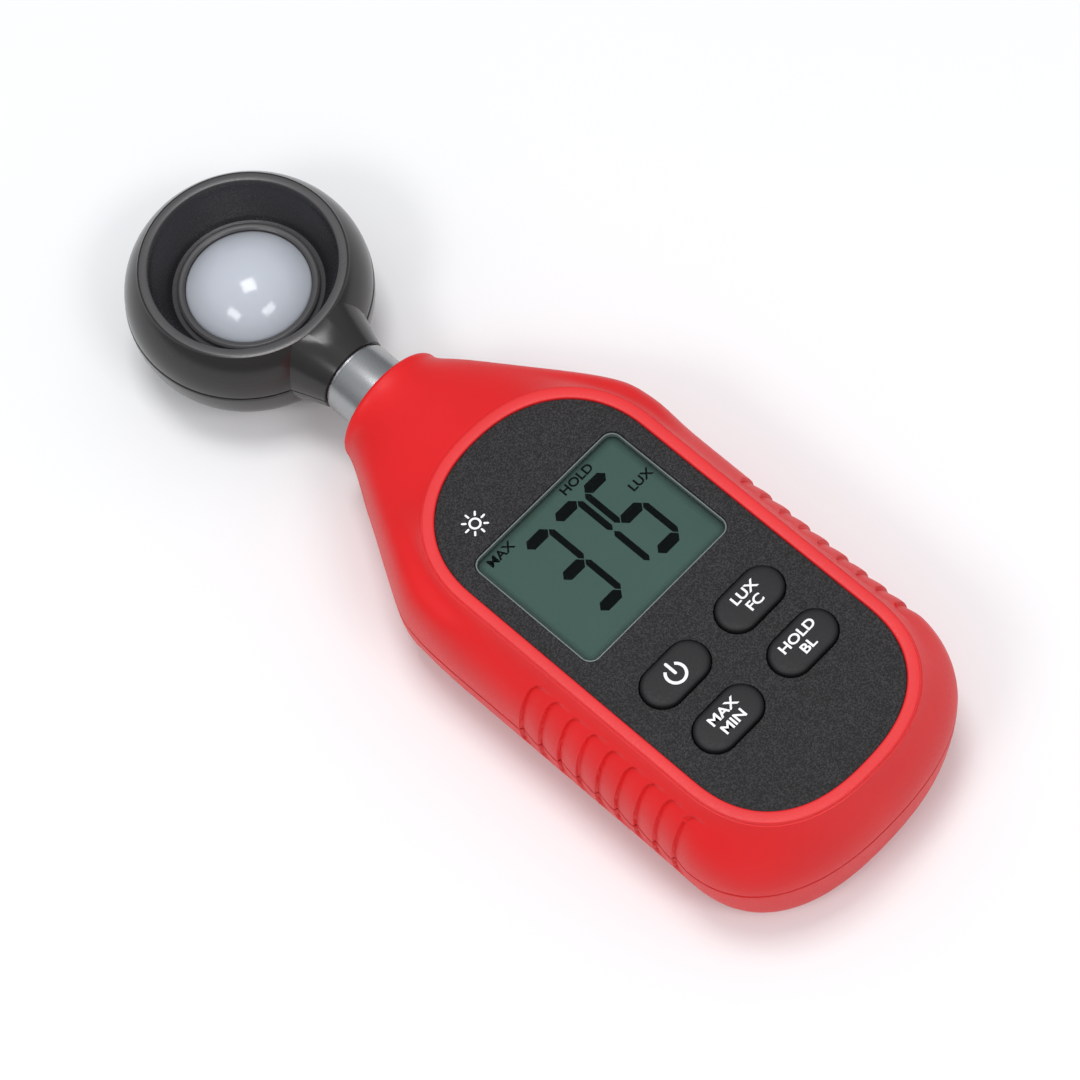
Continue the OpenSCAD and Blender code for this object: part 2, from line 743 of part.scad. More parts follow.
module head_screws() {
    color("silver") about_head() for (a = HEAD_POSTS) rotate([0, 0, a]) translate([head_post_ring, 0, 0])
        screw(head_seat_z - head_screw_h, 0.8, 1.5, head_screw_h, 9.7);
}
module sensor_ring() {
    color([0.35, 0.34, 0.35]) about_head() rotate_extrude($fn = 96) polygon([[dome_r + 0.05, bowl_z],
        [ring_out_r, bowl_z], [ring_out_r, ring_z - 0.3], [ring_out_r - 0.4, ring_z],
        [dome_r + 0.35, ring_z - 0.15], [dome_r + 0.05, ring_z - 0.5]]);
}
module diffuser_dome() {
    ball = (dome_r * dome_r + dome_h * dome_h) / (2 * dome_h);
    edge_z = ring_z - 0.6;
    color([0.92, 0.94, 0.97]) about_head() rotate_extrude($fn = 96) difference() {
        union() {
            translate([0, bowl_z]) square([dome_r, edge_z - bowl_z + eps]);
            intersection() {
                translate([0, edge_z + dome_h - ball]) circle(ball, $fn = 96);
                translate([0, edge_z]) square([dome_r, dome_h + 1]);
            }
        }
        intersection() {
            translate([0, edge_z + dome_h - ball]) circle(ball - dome_wall, $fn = 96);
            translate([-1, bowl_z - 1]) square([dome_r + 1 - dome_wall, 20]);
        }
        translate([-1, bowl_z - 1]) square([dome_r + 1 - dome_wall, 1.2]);
    }
}
module sensor_holder() {
    color([0.12, 0.12, 0.12]) about_head() rotate_extrude($fn = 96) polygon([
        [holder_in_r, sensor_board_z + sensor_board_t], [holder_out_r, sensor_board_z + sensor_board_t],
        [holder_out_r, bowl_z - bowl_floor], [holder_in_r, bowl_z - bowl_floor]]);
}
module colour_filter() {
    color([0.5, 0.75, 0.6]) about_head() translate([0, 0, filter_z]) cylinder(r = holder_in_r, h = filter_t);
}
module photodiode() {
    color([0.2, 0.2, 0.3]) about_head() box(-3, 3, -3, 3, sensor_board_z + sensor_board_t, filter_z - 0.4);
}
module sensor_board() {
    color("darkgreen") about_head() translate([0, 0, sensor_board_z])
        cylinder(r = holder_out_r, h = sensor_board_t);
}
module sensor_socket() {
    y0 = shaft_y1 + 0.5;
    color("ivory") {
        box(-2.2, 2.2, y0, y0 + 2.2, split_z - 3, split_z + 1.5);
        translate([0, y0 + 1.1, sensor_board_z + 0.1]) cylinder(r = 0.6, h = 4);
        translate([0, y0 + 1.1, sensor_board_z + 0.6]) rotate([-90, 0, 0])
            cylinder(r = 0.5, h = head_y - holder_out_r - y0 - 1.12);
    }
}

// ---- what is drawn ----

front_case();
rear_case();
front_panel();
display_window();
display_glass();
display_holder();
backlight_plate();
backlight_led();
contact_strips();
key_mat();
button_power();
button_unit();
button_range();
button_hold();
pill_power();
pill_unit();
pill_range();
pill_hold();
main_board();
key_pads();
processor();
board_parts();
clock_crystal();
cable_socket();
board_screws();
battery_1();
battery_2();
battery_3();
battery_springs();
battery_plates();
battery_leads();
battery_door();
door_screw();
door_insert();
case_screws();
swivel_bush();
swivel_shaft();
friction_washer();
neck_sleeve();
sensor_cable();
head_front();
head_rear();
head_screws();
sensor_ring();
diffuser_dome();
sensor_holder();
colour_filter();
photodiode();
sensor_board();
sensor_socket();
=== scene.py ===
import bmesh
import bpy
import math
import numpy as np
from mathutils import Matrix, Vector


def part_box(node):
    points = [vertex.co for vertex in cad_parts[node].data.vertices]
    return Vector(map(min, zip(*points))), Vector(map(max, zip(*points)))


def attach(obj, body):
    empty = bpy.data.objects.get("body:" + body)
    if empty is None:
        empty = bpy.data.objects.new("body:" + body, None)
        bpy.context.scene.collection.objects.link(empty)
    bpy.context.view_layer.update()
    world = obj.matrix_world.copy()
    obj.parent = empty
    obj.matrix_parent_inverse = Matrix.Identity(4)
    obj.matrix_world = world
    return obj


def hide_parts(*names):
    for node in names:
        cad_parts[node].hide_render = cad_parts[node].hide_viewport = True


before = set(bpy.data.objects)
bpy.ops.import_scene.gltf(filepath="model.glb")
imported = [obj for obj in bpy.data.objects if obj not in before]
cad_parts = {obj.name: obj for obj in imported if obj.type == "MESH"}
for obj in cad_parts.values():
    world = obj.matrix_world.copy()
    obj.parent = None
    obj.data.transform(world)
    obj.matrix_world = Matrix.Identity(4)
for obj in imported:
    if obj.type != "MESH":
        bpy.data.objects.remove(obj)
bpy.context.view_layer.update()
MM = 0.001          # the helpers take millimetres, Blender metres



def node_box(node):
    """Lowest and highest corner of a CAD node, in millimetres."""
    return [[round(c / MM, 3) for c in end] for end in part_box(node)]


def node_centre(node):
    (x0, y0, _), (x1, y1, _) = node_box(node)
    return (x0 + x1) / 2, (y0 + y1) / 2


# ---------------------------------------------------------------- materials
NOISE_SPAN = (0.3, 0.7)         # colour and roughness change between these noise values
SPECK_SPAN = (0.42, 0.66)       # light specks come in between these
BRUSH_STRETCH = 14.0            # how much longer than wide the brushed grain is


def noise(nt, source, scale, detail, roughness=0.5):
    node = nt.nodes.new("ShaderNodeTexNoise")
    node.inputs["Scale"].default_value = scale
    node.inputs["Detail"].default_value = detail
    node.inputs["Roughness"].default_value = roughness
    nt.links.new(source, node.inputs["Vector"])
    return node.outputs["Fac"]


def colour_ramp(nt, factor, span, colours):
    node = nt.nodes.new("ShaderNodeValToRGB")
    for stop, place, colour in zip(node.color_ramp.elements, span, colours):
        stop.position = place
        stop.color = (*colour, 1)
    nt.links.new(factor, node.inputs[0])
    return node.outputs[0]


def mix(nt, kind, a, b):
    node = nt.nodes.new("ShaderNodeMix")
    node.data_type, node.blend_type = "RGBA", kind
    node.inputs[0].default_value = 1.0
    nt.links.new(a, node.inputs[6])
    nt.links.new(b, node.inputs[7])
    return node.outputs[2]


def material(name, base, rough=0.5, metal=0.0, var=0.08, var_scale=90.0, grain=2200.0, bump=0.08,
             bump_mm=0.05, rough_var=0.08, coat=0.0, coat_rough=0.1, alpha=1.0, speck=0.0, spec=0.5,
             brushed=False, sss=0.0):
    """Principled surface whose colour, roughness and bump all vary with object-space noise."""
    m = bpy.data.materials.new(name)
    m.use_nodes = True
    nt = m.node_tree
    nt.nodes.clear()
    link = nt.links.new
    shader = nt.nodes.new("ShaderNodeBsdfPrincipled")
    link(shader.outputs[0], nt.nodes.new("ShaderNodeOutputMaterial").inputs[0])
    plain = {"Metallic": metal, "Coat Weight": coat, "Coat Roughness": coat_rough,
             "Specular IOR Level": spec, "Alpha": alpha}
    if sss:
        plain.update({"Subsurface Weight": sss, "Subsurface Radius": (0.003, 0.003, 0.003),
                      "Subsurface Scale": 1.0})
    for socket, value in plain.items():
        shader.inputs[socket].default_value = value

    place = nt.nodes.new("ShaderNodeTexCoord").outputs["Object"]
    fine_place = place
    if brushed:
        stretch = nt.nodes.new("ShaderNodeMapping")
        stretch.inputs["Scale"].default_value = (1.0, BRUSH_STRETCH, 1.0)
        link(place, stretch.inputs[0])
        fine_place = stretch.outputs[0]
    large = noise(nt, place, var_scale, 3.0)
    fine = noise(nt, fine_place, grain, 2.0, 0.6)

    darker = [max(0.0, c * (1 - var)) for c in base]
    lighter = [min(1.0, c * (1 + var)) for c in base]
    colour = colour_ramp(nt, large, NOISE_SPAN, (darker, lighter))
    if speck:
        # the ramp holds half of each factor, and adding the product to itself doubles it again
        factors = (max(0.0, 1 - speck), 1 + speck * 1.6)
        halves = colour_ramp(nt, fine, SPECK_SPAN, [[k / 2] * 3 for k in factors])
        specked = mix(nt, "MULTIPLY", colour, halves)
        colour = mix(nt, "ADD", specked, specked)
    link(colour, shader.inputs["Base Color"])

    gloss = nt.nodes.new("ShaderNodeMapRange")
    ends = {"From Min": NOISE_SPAN[0], "From Max": NOISE_SPAN[1],
            "To Min": max(0.02, rough - rough_var), "To Max": min(1.0, rough + rough_var)}
    for socket, value in ends.items():
        gloss.inputs[socket].default_value = value
    link(fine, gloss.inputs["Value"])
    link(gloss.outputs[0], shader.inputs["Roughness"])

    relief = nt.nodes.new("ShaderNodeBump")
    relief.inputs["Strength"].default_value = bump
    relief.inputs["Distance"].default_value = bump_mm * MM
    link(fine, relief.inputs["Height"])
    link(relief.outputs[0], shader.inputs["Normal"])
    return m


def display_tone(name, share):
    """The display's green, scaled by share; below one it is painted shade from the window's edge."""
    green = (0.043, 0.090, 0.072)
    return material(name, tuple(c * share for c in green), rough=0.45, var=0.03, var_scale=60,
                    grain=900, bump=0.02, bump_mm=0.01, rough_var=0.03, spec=0.15)


# outside
red = material("red_moulding", (0.72, 0.013, 0.015), rough=0.44, var=0.03, grain=2600, bump=0.10,
               bump_mm=0.03, rough_var=0.05, spec=0.24)
band_red = material("red_band", (0.73, 0.016, 0.019), rough=0.40, var=0.03, grain=2600, bump=0.08,
                    bump_mm=0.03, spec=0.36)
panel_dark = material("panel_spark", (0.022, 0.0205, 0.0215), rough=0.66, var=0.06, grain=4200,
                      bump=0.8, bump_mm=0.06, rough_var=0.12, speck=0.75, spec=0.26)
rubber = material("key_rubber", (0.009, 0.008, 0.009), rough=0.50, var=0.06, grain=5200, bump=0.12,
                  bump_mm=0.02, spec=0.30)
print_white = material("key_print", (0.88, 0.88, 0.88), rough=0.5, var=0.03, grain=4000, bump=0.1,
                       bump_mm=0.01)
gunmetal = material("head_gunmetal", (0.018, 0.0165, 0.016), rough=0.22, var=0.04, grain=3800,
                    bump=0.02, bump_mm=0.01, rough_var=0.03, spec=0.42, coat=0.08, coat_rough=0.16)
bowl_dark = material("bowl_dark", (0.018, 0.0165, 0.018), rough=0.26, var=0.04, grain=3800,
                     bump=0.02, bump_mm=0.01, rough_var=0.03, spec=0.6)
rim_grey = material("rim_grey", (0.062, 0.058, 0.059), rough=0.34, var=0.05, grain=3800, bump=0.06,
                    bump_mm=0.02)
ring_grey = material("ring_grey", (0.062, 0.059, 0.061), rough=0.34, var=0.05, grain=3800,
                     bump=0.06, bump_mm=0.02)
dome_white = material("dome_opal", (0.52, 0.545, 0.60), rough=0.13, var=0.02, grain=1500, bump=0.02,
                      bump_mm=0.01, rough_var=0.02, sss=0.25)
silver = material("sleeve_silver", (0.36, 0.365, 0.37), rough=0.30, metal=1.0, var=0.05, grain=1800,
                  bump=0.03, bump_mm=0.01, rough_var=0.05, brushed=True)
# display
# the display's green, and three darker copies of it that paint the shade cast by the window's edge
lcd_green = display_tone("display_green", 1.0)
lcd_painted_shade_edge = display_tone("display_green_painted_shade_edge", 0.52)
lcd_painted_shade_mid = display_tone("display_green_painted_shade_mid", 0.70)
lcd_painted_shade_soft = display_tone("display_green_painted_shade_soft", 0.86)
window_clear = material("window_clear", (0.05, 0.075, 0.07), rough=0.05, var=0.02, grain=800,
                        bump=0.01, bump_mm=0.01, rough_var=0.01, alpha=0.02, spec=0.15)
# painted highlight: a pale ring for the light caught on the window's clear edge
painted_edge_highlight = material("window_edge_highlight", (0.15, 0.18, 0.17), rough=0.2, var=0.05, grain=2600, bump=0.05,
                      bump_mm=0.01)
ink = material("display_ink", (0.0015, 0.002, 0.002), rough=0.6, var=0.2, grain=3000, bump=0.02,
               bump_mm=0.01, spec=0.03)
# inside
steel = material("plated_steel", (0.48, 0.48, 0.50), rough=0.3, metal=1.0, var=0.06, grain=2600,
                 bump=0.1, bump_mm=0.01)
brass = material("brass_plate", (0.62, 0.43, 0.18), rough=0.32, metal=1.0, var=0.08, grain=2600,
                 bump=0.1, bump_mm=0.01)
white_moulding = material("white_moulding", (0.66, 0.66, 0.64), rough=0.5, var=0.04, bump=0.1)
black_part = material("black_part", (0.02, 0.02, 0.02), rough=0.55, var=0.15, bump=0.15)
board_green = material("board_mask", (0.015, 0.11, 0.05), rough=0.35, var=0.25, var_scale=700,
                       bump=0.25, bump_mm=0.03)
jacket = material("cell_jacket", (0.045, 0.06, 0.10), rough=0.3, var=0.15, var_scale=160, bump=0.06)
lead_red = material("lead_red", (0.35, 0.02, 0.02), rough=0.4, var=0.1)
cable_dark = material("cable_dark", (0.03, 0.03, 0.03), rough=0.45, var=0.1)
# painted shadow: black for the parting groove's inner walls and the stub's seam, where only shade falls
painted_shadow = material("painted_shadow_black", (0.008, 0.008, 0.008), rough=0.8, var=0.2, bump=0.1)
guide_white = material("light_guide", (0.62, 0.70, 0.66), rough=0.25, var=0.04, bump=0.05)
filter_green = material("filter_glass", (0.20, 0.38, 0.28), rough=0.08, var=0.03, bump=0.01, alpha=0.5)

NODES_OF = (
    (red, ("front_case", "rear_case", "battery_door")),
    (panel_dark, ("front_panel",)),
    (rubber, ("button_power", "button_unit", "button_range", "button_hold")),
    (gunmetal, ("head_front", "head_rear")),
    (ring_grey, ("sensor_ring",)),
    (dome_white, ("diffuser_dome",)),
    (silver, ("neck_sleeve",)),
    (lcd_green, ("display_glass",)),
    (window_clear, ("display_window",)),
    (guide_white, ("backlight_plate",)),
    (white_moulding, ("backlight_led", "cable_socket", "sensor_socket")),
    (board_green, ("main_board", "sensor_board")),
    (brass, ("key_pads", "door_insert")),
    (steel, ("clock_crystal", "board_screws", "case_screws", "head_screws", "door_screw",
             "battery_springs", "battery_plates", "swivel_shaft", "friction_washer")),
    (jacket, ("battery_1", "battery_2", "battery_3")),
    (lead_red, ("battery_leads",)),
    (cable_dark, ("sensor_cable",)),
    (filter_green, ("colour_filter",)),
    (black_part, ("display_holder", "contact_strips", "key_mat", "pill_power", "pill_unit",
                  "pill_range", "pill_hold", "processor", "board_parts", "swivel_bush",
                  "sensor_holder", "photodiode")),
)
MATERIAL_OF = {node: mat for mat, nodes in NODES_OF for node in nodes}
for node_name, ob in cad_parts.items():
    ob.data.materials.clear()
    ob.data.materials.append(MATERIAL_OF[node_name])


# ---------------------------------------------------------------- mesh helpers
def show(name, data):
    ob = bpy.data.objects.new(name, data)
    bpy.context.scene.collection.objects.link(ob)
    return ob


def mesh_of(ob):
    """The mesh that a curve or text object makes; the object itself goes."""
    bpy.context.view_layer.update()
    me = bpy.data.meshes.new_from_object(ob.evaluated_get(bpy.context.evaluated_depsgraph_get()))
    bpy.data.objects.remove(ob)
    return me


def finish_mesh(ob, angle, weld):
    """Welds, turns the faces outwards, and shades smooth with sharp edges past angle."""
    bm = bmesh.new()
    bm.from_mesh(ob.data)
    if weld:
        bmesh.ops.remove_doubles(bm, verts=bm.verts, dist=weld)
    bmesh.ops.recalc_face_normals(bm, faces=bm.faces)
    bm.to_mesh(ob.data)
    bm.free()
    ob.data.polygons.foreach_set("use_smooth", [True] * len(ob.data.polygons))
    ob.data.set_sharp_from_angle(angle=math.radians(angle))
    ob.data.update()


def declare(ob, body, replaces):
    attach(ob, body)
    if replaces:
        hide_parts(*replaces)


class Build:
    """Collects faces into one mesh: v points, f faces, m material numbers."""

    def __init__(self):
        self.v, self.f, self.m = [], [], []

    def face(self, indices, mat=0):
        self.f.append(tuple(indices))
        self.m.append(mat)

    def grid(self, rows, mat=0, closed=False):
        """rows: array (n, k, 3); closed joins the last column to the first."""
        rows = np.asarray(rows, float)
        n, k, _ = rows.shape
        base = len(self.v)
        self.v += rows.reshape(-1, 3).tolist()
        for j in range(n - 1):
            for i in range(k if closed else k - 1):
                a, b = base + j * k + i, base + j * k + (i + 1) % k
                self.face((a, b, b + k, a + k), mat)

    def fan(self, ring, centre, mat=0):
        """Triangles from a ring of points to its centre."""
        base = len(self.v)
        self.v += [list(p) for p in ring] + [list(centre)]
        n = len(ring)
        for i in range(n):
            self.face((base + i, base + (i + 1) % n, base + n), mat)

    def cap(self, count, mat=0):
        """One face over the last count points."""
        self.face(range(len(self.v) - count, len(self.v)), mat)

    def add(self, points, faces):
        """More points, and faces that number them from their first."""
        base = len(self.v)
        self.v += points
        for q in faces:
            self.face(base + i for i in q)


def make(name, b, mats, body, replaces=(), angle=35.0, weld=1e-5):
    """The mesh piece of a Build whose points are in millimetres."""
    me = bpy.data.meshes.new(name)
    me.from_pydata([tuple(float(c) * MM for c in v) for v in b.v], [], b.f)
    for m in (mats if isinstance(mats, list) else [mats]):
        me.materials.append(m)
    me.polygons.foreach_set("material_index", b.m)
    ob = show(name, me)
    finish_mesh(ob, angle, weld)
    declare(ob, body, replaces)


def lathe(b, profile, centre, seg=160, axis="z", a0=0.0, a1=360.0, mat=0):
    """profile: (r, h) list. Turned about an axis through centre."""
    full = abs(a1 - a0) >= 360
    n = seg if full else seg + 1
    ang = [math.radians(a0 + (a1 - a0) * i / seg) for i in range(n)]
    rows = []
    for r, h in profile:
        if axis == "z":
            rows.append([(centre[0] + r * math.cos(t), centre[1] + r * math.sin(t), h) for t in ang])
        else:
            rows.append([(centre[0] + r * math.cos(t), h, centre[2] + r * math.sin(t)) for t in ang])
    b.grid(rows, mat, closed=full)


def rounded(profile, radius, steps=5):
    """Rounds every inner corner of a polyline profile."""
    out = [profile[0]]
    for i in range(1, len(profile) - 1):
        p, q, r = (np.array(profile[j], float) for j in (i - 1, i, i + 1))
        u, w = p - q, r - q
        lu, lw = np.linalg.norm(u), np.linalg.norm(w)
        d = min(radius, lu * 0.45, lw * 0.45)
        a, c = q + u / lu * d, q + w / lw * d
        for k in range(steps + 1):
            t = k / steps
            out.append(tuple((1 - t) ** 2 * a + 2 * t * (1 - t) * q + t * t * c))
    out.append(profile[-1])
    return out


def at_height(loop, z):
    return [(x, y, z) for x, y in loop]


def thin(loop, step):
    """Drops points closer than step."""
    out = [loop[0]]
    for p in loop[1:]:
        if math.dist(p, out[-1]) >= step:
            out.append(p)
    return out


def pill_loop(cx, cy, l, w, grow=0.0, n=18):
    r, h = w / 2 + grow, (l - w) / 2
    pts = []
    for s, a0 in ((1, -90), (-1, 90)):
        for i in range(n + 1):
            a = math.radians(a0 + 180 * i / n)
            pts.append((cx + s * h + r * math.cos(a), cy + r * math.sin(a)))
    return pts


def round_loop(cx, cy, w, l, r, n=8):
    """Rectangle w by l with corners of radius r, each of n steps."""
    pts = []
    for sx, sy, a0 in ((1, 1, 0), (-1, 1, 90), (-1, -1, 180), (1, -1, 270)):
        for i in range(n + 1):
            a = math.radians(a0 + 90 * i / n)
            pts.append((cx + sx * (w / 2 - r) + r * math.cos(a), cy + sy * (l / 2 - r) + r * math.sin(a)))
    return pts


def circle(cx, cy, r, n=40):
    turn = [2 * math.pi * i / n for i in range(n)]
    return [(cx + r * math.cos(t), cy + r * math.sin(t)) for t in turn]


def rect(x, y0, y1, r):
    """Rectangle with small round corners, from -x to x and from y0 to y1."""
    return round_loop(0, (y0 + y1) / 2, 2 * x, abs(y1 - y0), r, 5)


def smooth_step(x, a, b):
    t = np.clip((x - a) / (b - a), 0, 1)
    return t * t * (3 - 2 * t)


def catmull(points, t):
    """Catmull-Rom spline through points, t from 0 to len - 1."""
    n = len(points)
    i = min(int(t), n - 2)
    f = t - i
    p = [np.array(points[min(max(j, 0), n - 1)], float) for j in (i - 1, i, i + 1, i + 2)]
    if i == 0:
        p[0] = 2 * p[1] - p[2]
    if i == n - 2:
        p[3] = 2 * p[2] - p[1]
    return 0.5 * ((2 * p[1]) + (-p[0] + p[2]) * f + (2 * p[0] - 5 * p[1] + 4 * p[2] - p[3]) * f * f
                  + (-p[0] + 3 * p[1] - 3 * p[2] + p[3]) * f ** 3)


def flat_curve(name, loops, mat, body, z, half_t, bevel, replaces=()):
    """A flat plate with holes and softened edges, from closed outlines in millimetres. z is the height
    of its middle plane."""
    cu = bpy.data.curves.new(name, "CURVE")
    cu.dimensions, cu.fill_mode = "2D", "BOTH"
    cu.extrude, cu.bevel_depth, cu.bevel_resolution = (half_t - bevel) * MM, bevel * MM, 2
    for loop in loops:
        spline = cu.splines.new("POLY")
        spline.points.add(len(loop) - 1)
        for p, q in zip(spline.points, loop):
            p.co = (q[0] * MM, q[1] * MM, 0, 1)
        spline.use_cyclic_u = True
    me = mesh_of(show(name + "_c", cu))
    me.transform(Matrix.Translation((0, 0, z * MM)))
    me.name = name
    me.materials.clear()
    me.materials.append(mat)
    ob = show(name, me)
    finish_mesh(ob, 30, 1e-7)
    even = ob.modifiers.new("even_normals", "WEIGHTED_NORMAL")
    even.keep_sharp = True
    declare(ob, body, replaces)


# ---------------------------------------------------------------- the case's two shells
SPLIT = node_box("head_rear")[1][2]         # height where the front and rear shells meet
HALF_W, BOSS_Y, _ = node_box("front_case")[1]   # half the width, and the neck's end
FOOT_Y = -79.0                              # the foot's end
FOOT_ARC, FOOT_POWER = 18.2, 2.32           # length and roundness of the foot's corners
CAP_TOP_POWER, CAP_LOW_POWER = 2.2, 2.4     # roundness of a flat cap's ends
BOSS_R, LIP = 10.45, 0.8                    # the round neck's radius, and its end's round
BORE_R = 6.67                               # the neck's bore

# the shoulder on the split plane, from the neck down to where the flank is straight
SHOULDER = [(10.45, 27.1), (11.45, 24.7), (13.2, 21.6), (15.4, 18.0), (18.25, 13.0), (21.2, 8.0),
            (23.7, 3.6), (25.7, -0.6), (26.6, -6.0), (HALF_W, -13.0)]

# Columns of the right half, from the neck's top to the foot's middle, in four groups:
# a round the neck, b the shoulder, c the flank and d the foot's corner.
N_A, N_B, N_C, N_D = 36, 60, 380, 84
START_B, START_C, START_D = N_A, N_A + N_B, N_A + N_B + N_C
SHOULDER_B = 8                              # shoulder points that group b takes
FLANK_BEND = 1 / 6                          # share of group c before the flank is straight


def corner(a, b, power, angle):
    """A point on a quarter of a superellipse, angle in degrees from the b side."""
    u = math.radians(angle)
    return np.array([a * max(0.0, math.sin(u)) ** (2 / power), b * max(0.0, math.cos(u)) ** (2 / power)])


def half_outline(half, top, low, arc_top, arc_low):
    """Right half of a flat cap's outline, a point per column."""
    pts = []
    y0, y1 = top - arc_top, low + arc_low
    for i in range(START_C):
        angle = 45 * i / N_A if i < START_B else 45 + 45 * (i - START_B) / N_B
        c = corner(half, arc_top, CAP_TOP_POWER, angle)
        pts.append((c[0], y0 + c[1]))
    for i in range(N_C):
        t = i / N_C
        pts.append((half, (1 - t) * y0 + t * y1))
    for i in range(N_D + 1):
        c = corner(half, arc_low, CAP_LOW_POWER, 90 - 90 * i / N_D)
        pts.append((c[0], y1 - c[1]))
    return pts


def edge_columns(side):
    """Per column: the point on the shell's edge, the direction it is reached in, and its group."""
    cols = []
    down = np.array([0, 0, -side])
    for i in range(N_A):
        k = i / N_A
        a = math.radians(90 * (1 - k))
        point = np.array([BOSS_R * math.cos(a), BOSS_Y - LIP, SPLIT + side * BOSS_R * math.sin(a)])
        d = np.array([0, 1 - k, 0]) + k * np.array([math.sin(a), 0, -side * math.cos(a)])
        cols.append((point, d / np.linalg.norm(d), "a"))
    for i in range(N_B):
        e = catmull(SHOULDER, SHOULDER_B * i / N_B)
        cols.append((np.array([*e, SPLIT]), down, "b"))
    flank_top, flank_low = SHOULDER[-1][1], FOOT_Y + FOOT_ARC
    for i in range(N_C):
        t = i / N_C
        if t < FLANK_BEND:
            e = catmull(SHOULDER, SHOULDER_B + t / FLANK_BEND)
        else:
            straight = (t - FLANK_BEND) / (1 - FLANK_BEND)
            e = (HALF_W, flank_top + straight * (flank_low - flank_top))
        cols.append((np.array([*e, SPLIT]), down, "c"))
    for i in range(N_D + 1):
        e = corner(HALF_W, FOOT_ARC, FOOT_POWER, 90 - 90 * i / N_D)
        cols.append((np.array([e[0], flank_low - e[1], SPLIT]), down, "d"))
    return cols


def mirror(rows):
    """rows (n, k, 3) for the right half, first and last column on the centre plane: the closed loop."""
    rows = np.asarray(rows, float)
    left = rows[:, -2:0:-1, :].copy()
    left[:, :, 0] *= -1
    return np.concatenate([rows, left], axis=1)


# How a spoke leaves the cap and reaches the edge, as shares of its length. The hold is how far it
# keeps the edge's own direction, so more hold makes a fuller shell.
CAP_REACH = 0.32            # length of the start handle
MAX_NECK_FALL = 0.6         # steepest start of a spoke near the neck
FRONT_EXTRA_HOLD = 0.26     # added on the front shell where the shoulder meets the flank
NECK_HANDLE = 0.25          # length of the end handle along the neck
REAR_FOOT_REACH = 0.75      # start handle at the rear's foot, as a share of the spoke seen from above


def spokes(cap, cap_z, side, slope, n, hold, neck, foot):
    """Bezier spokes from the cap to the edge: array (n + 1, k, 3). The neck's spokes form a plain cone."""
    rows = np.zeros((n + 1, len(cap), 3))
    for i, (c, (e, d, group)) in enumerate(zip(cap, edge_columns(side))):
        p0 = np.array([c[0], c[1], cap_z])
        far = np.linalg.norm(e - p0)
        level = np.linalg.norm((e - p0)[:2])
        full = neck + smooth_step(i, 0.5 * N_A, START_B + 0.9 * N_B) * (hold - neck)
        if group == "b" and side > 0:
            full += FRONT_EXTRA_HOLD * smooth_step(i, START_B + 0.3 * N_B, START_B + 0.75 * N_B)
        if group == "c" and side > 0:
            full += FRONT_EXTRA_HOLD * (1 - smooth_step(i, START_C, START_C + 0.2 * N_C))
        if group == "d":
            full += foot * smooth_step((i - START_D) / N_D, 0.0, 0.4)

        steep = smooth_step(i, START_B + 0.3 * N_B, START_C + 0.1 * N_C)
        fall = abs(e[2] - cap_z) / max(1e-6, level)
        drop = (1 - steep) * min(fall, slope, MAX_NECK_FALL) + steep * slope
        out = (e - p0)[:2] / max(1e-6, far)
        start = np.array([out[0], out[1], -side * drop])
        start /= np.linalg.norm(start)
        reach = CAP_REACH * far
        if side < 0:
            at_foot = smooth_step(i, START_C + 0.8 * N_C, START_D + 0.2 * N_D)
            reach += at_foot * (REAR_FOOT_REACH * level - reach)
        p1 = p0 + reach * start
        if group == "a":
            k = i / N_A
            a = math.radians(90 * (1 - k))
            along = np.array([0, 1, 0])
            around = np.array([math.sin(a), 0, -side * math.cos(a)])
            m = smooth_step(k, 0.0, 1.0)
            p2 = e - NECK_HANDLE * far * (1 - m) * along - full * far * m * around
        else:
            p2 = e - full * far * d
        for j in range(n + 1):
            u = j / n
            w = 1 - u
            rows[j, i] = w ** 3 * p0 + 3 * w ** 2 * u * p1 + 3 * w * u * u * p2 + u ** 3 * e
    return rows


def relax(rows, passes):
    """Evens out the surface round the neck and shoulders; both ends of every spoke stay."""
    n, k, _ = rows.shape
    near_neck = 1 - smooth_step(np.arange(k), START_B + 0.35 * N_B, START_B + 0.95 * N_B)
    off_cap = smooth_step(np.arange(n), 0, 9)
    weight = 0.5 * near_neck[None, :, None] * off_cap[:, None, None]
    flip = np.array([-1, 1, 1])
    for _ in range(passes):
        wide = np.concatenate([rows[:, 1:2] * flip, rows, rows[:, -2:-1] * flip], axis=1)
        mean = (wide[1:-1, :-2] + wide[1:-1, 2:] + rows[:-2] + rows[2:]) / 4
        rows[1:-1] += weight[1:-1] * (mean - rows[1:-1])
    return rows


GROOVE_TOP, GROOVE_PITCH, GROOVE_COUNT, GROOVE_DEPTH = -26.6, 3.96, 9, 0.6
GROOVE_HOOK = 1.7           # how far a groove's inner end bends towards the foot
GROOVE_RUN = 0.85           # share of the pitch over which a step fades
GROOVE_STEP = 0.045         # share of the pitch that the sharp step takes
GROOVE_MIN_X = 14           # the grooves are on the flanks only


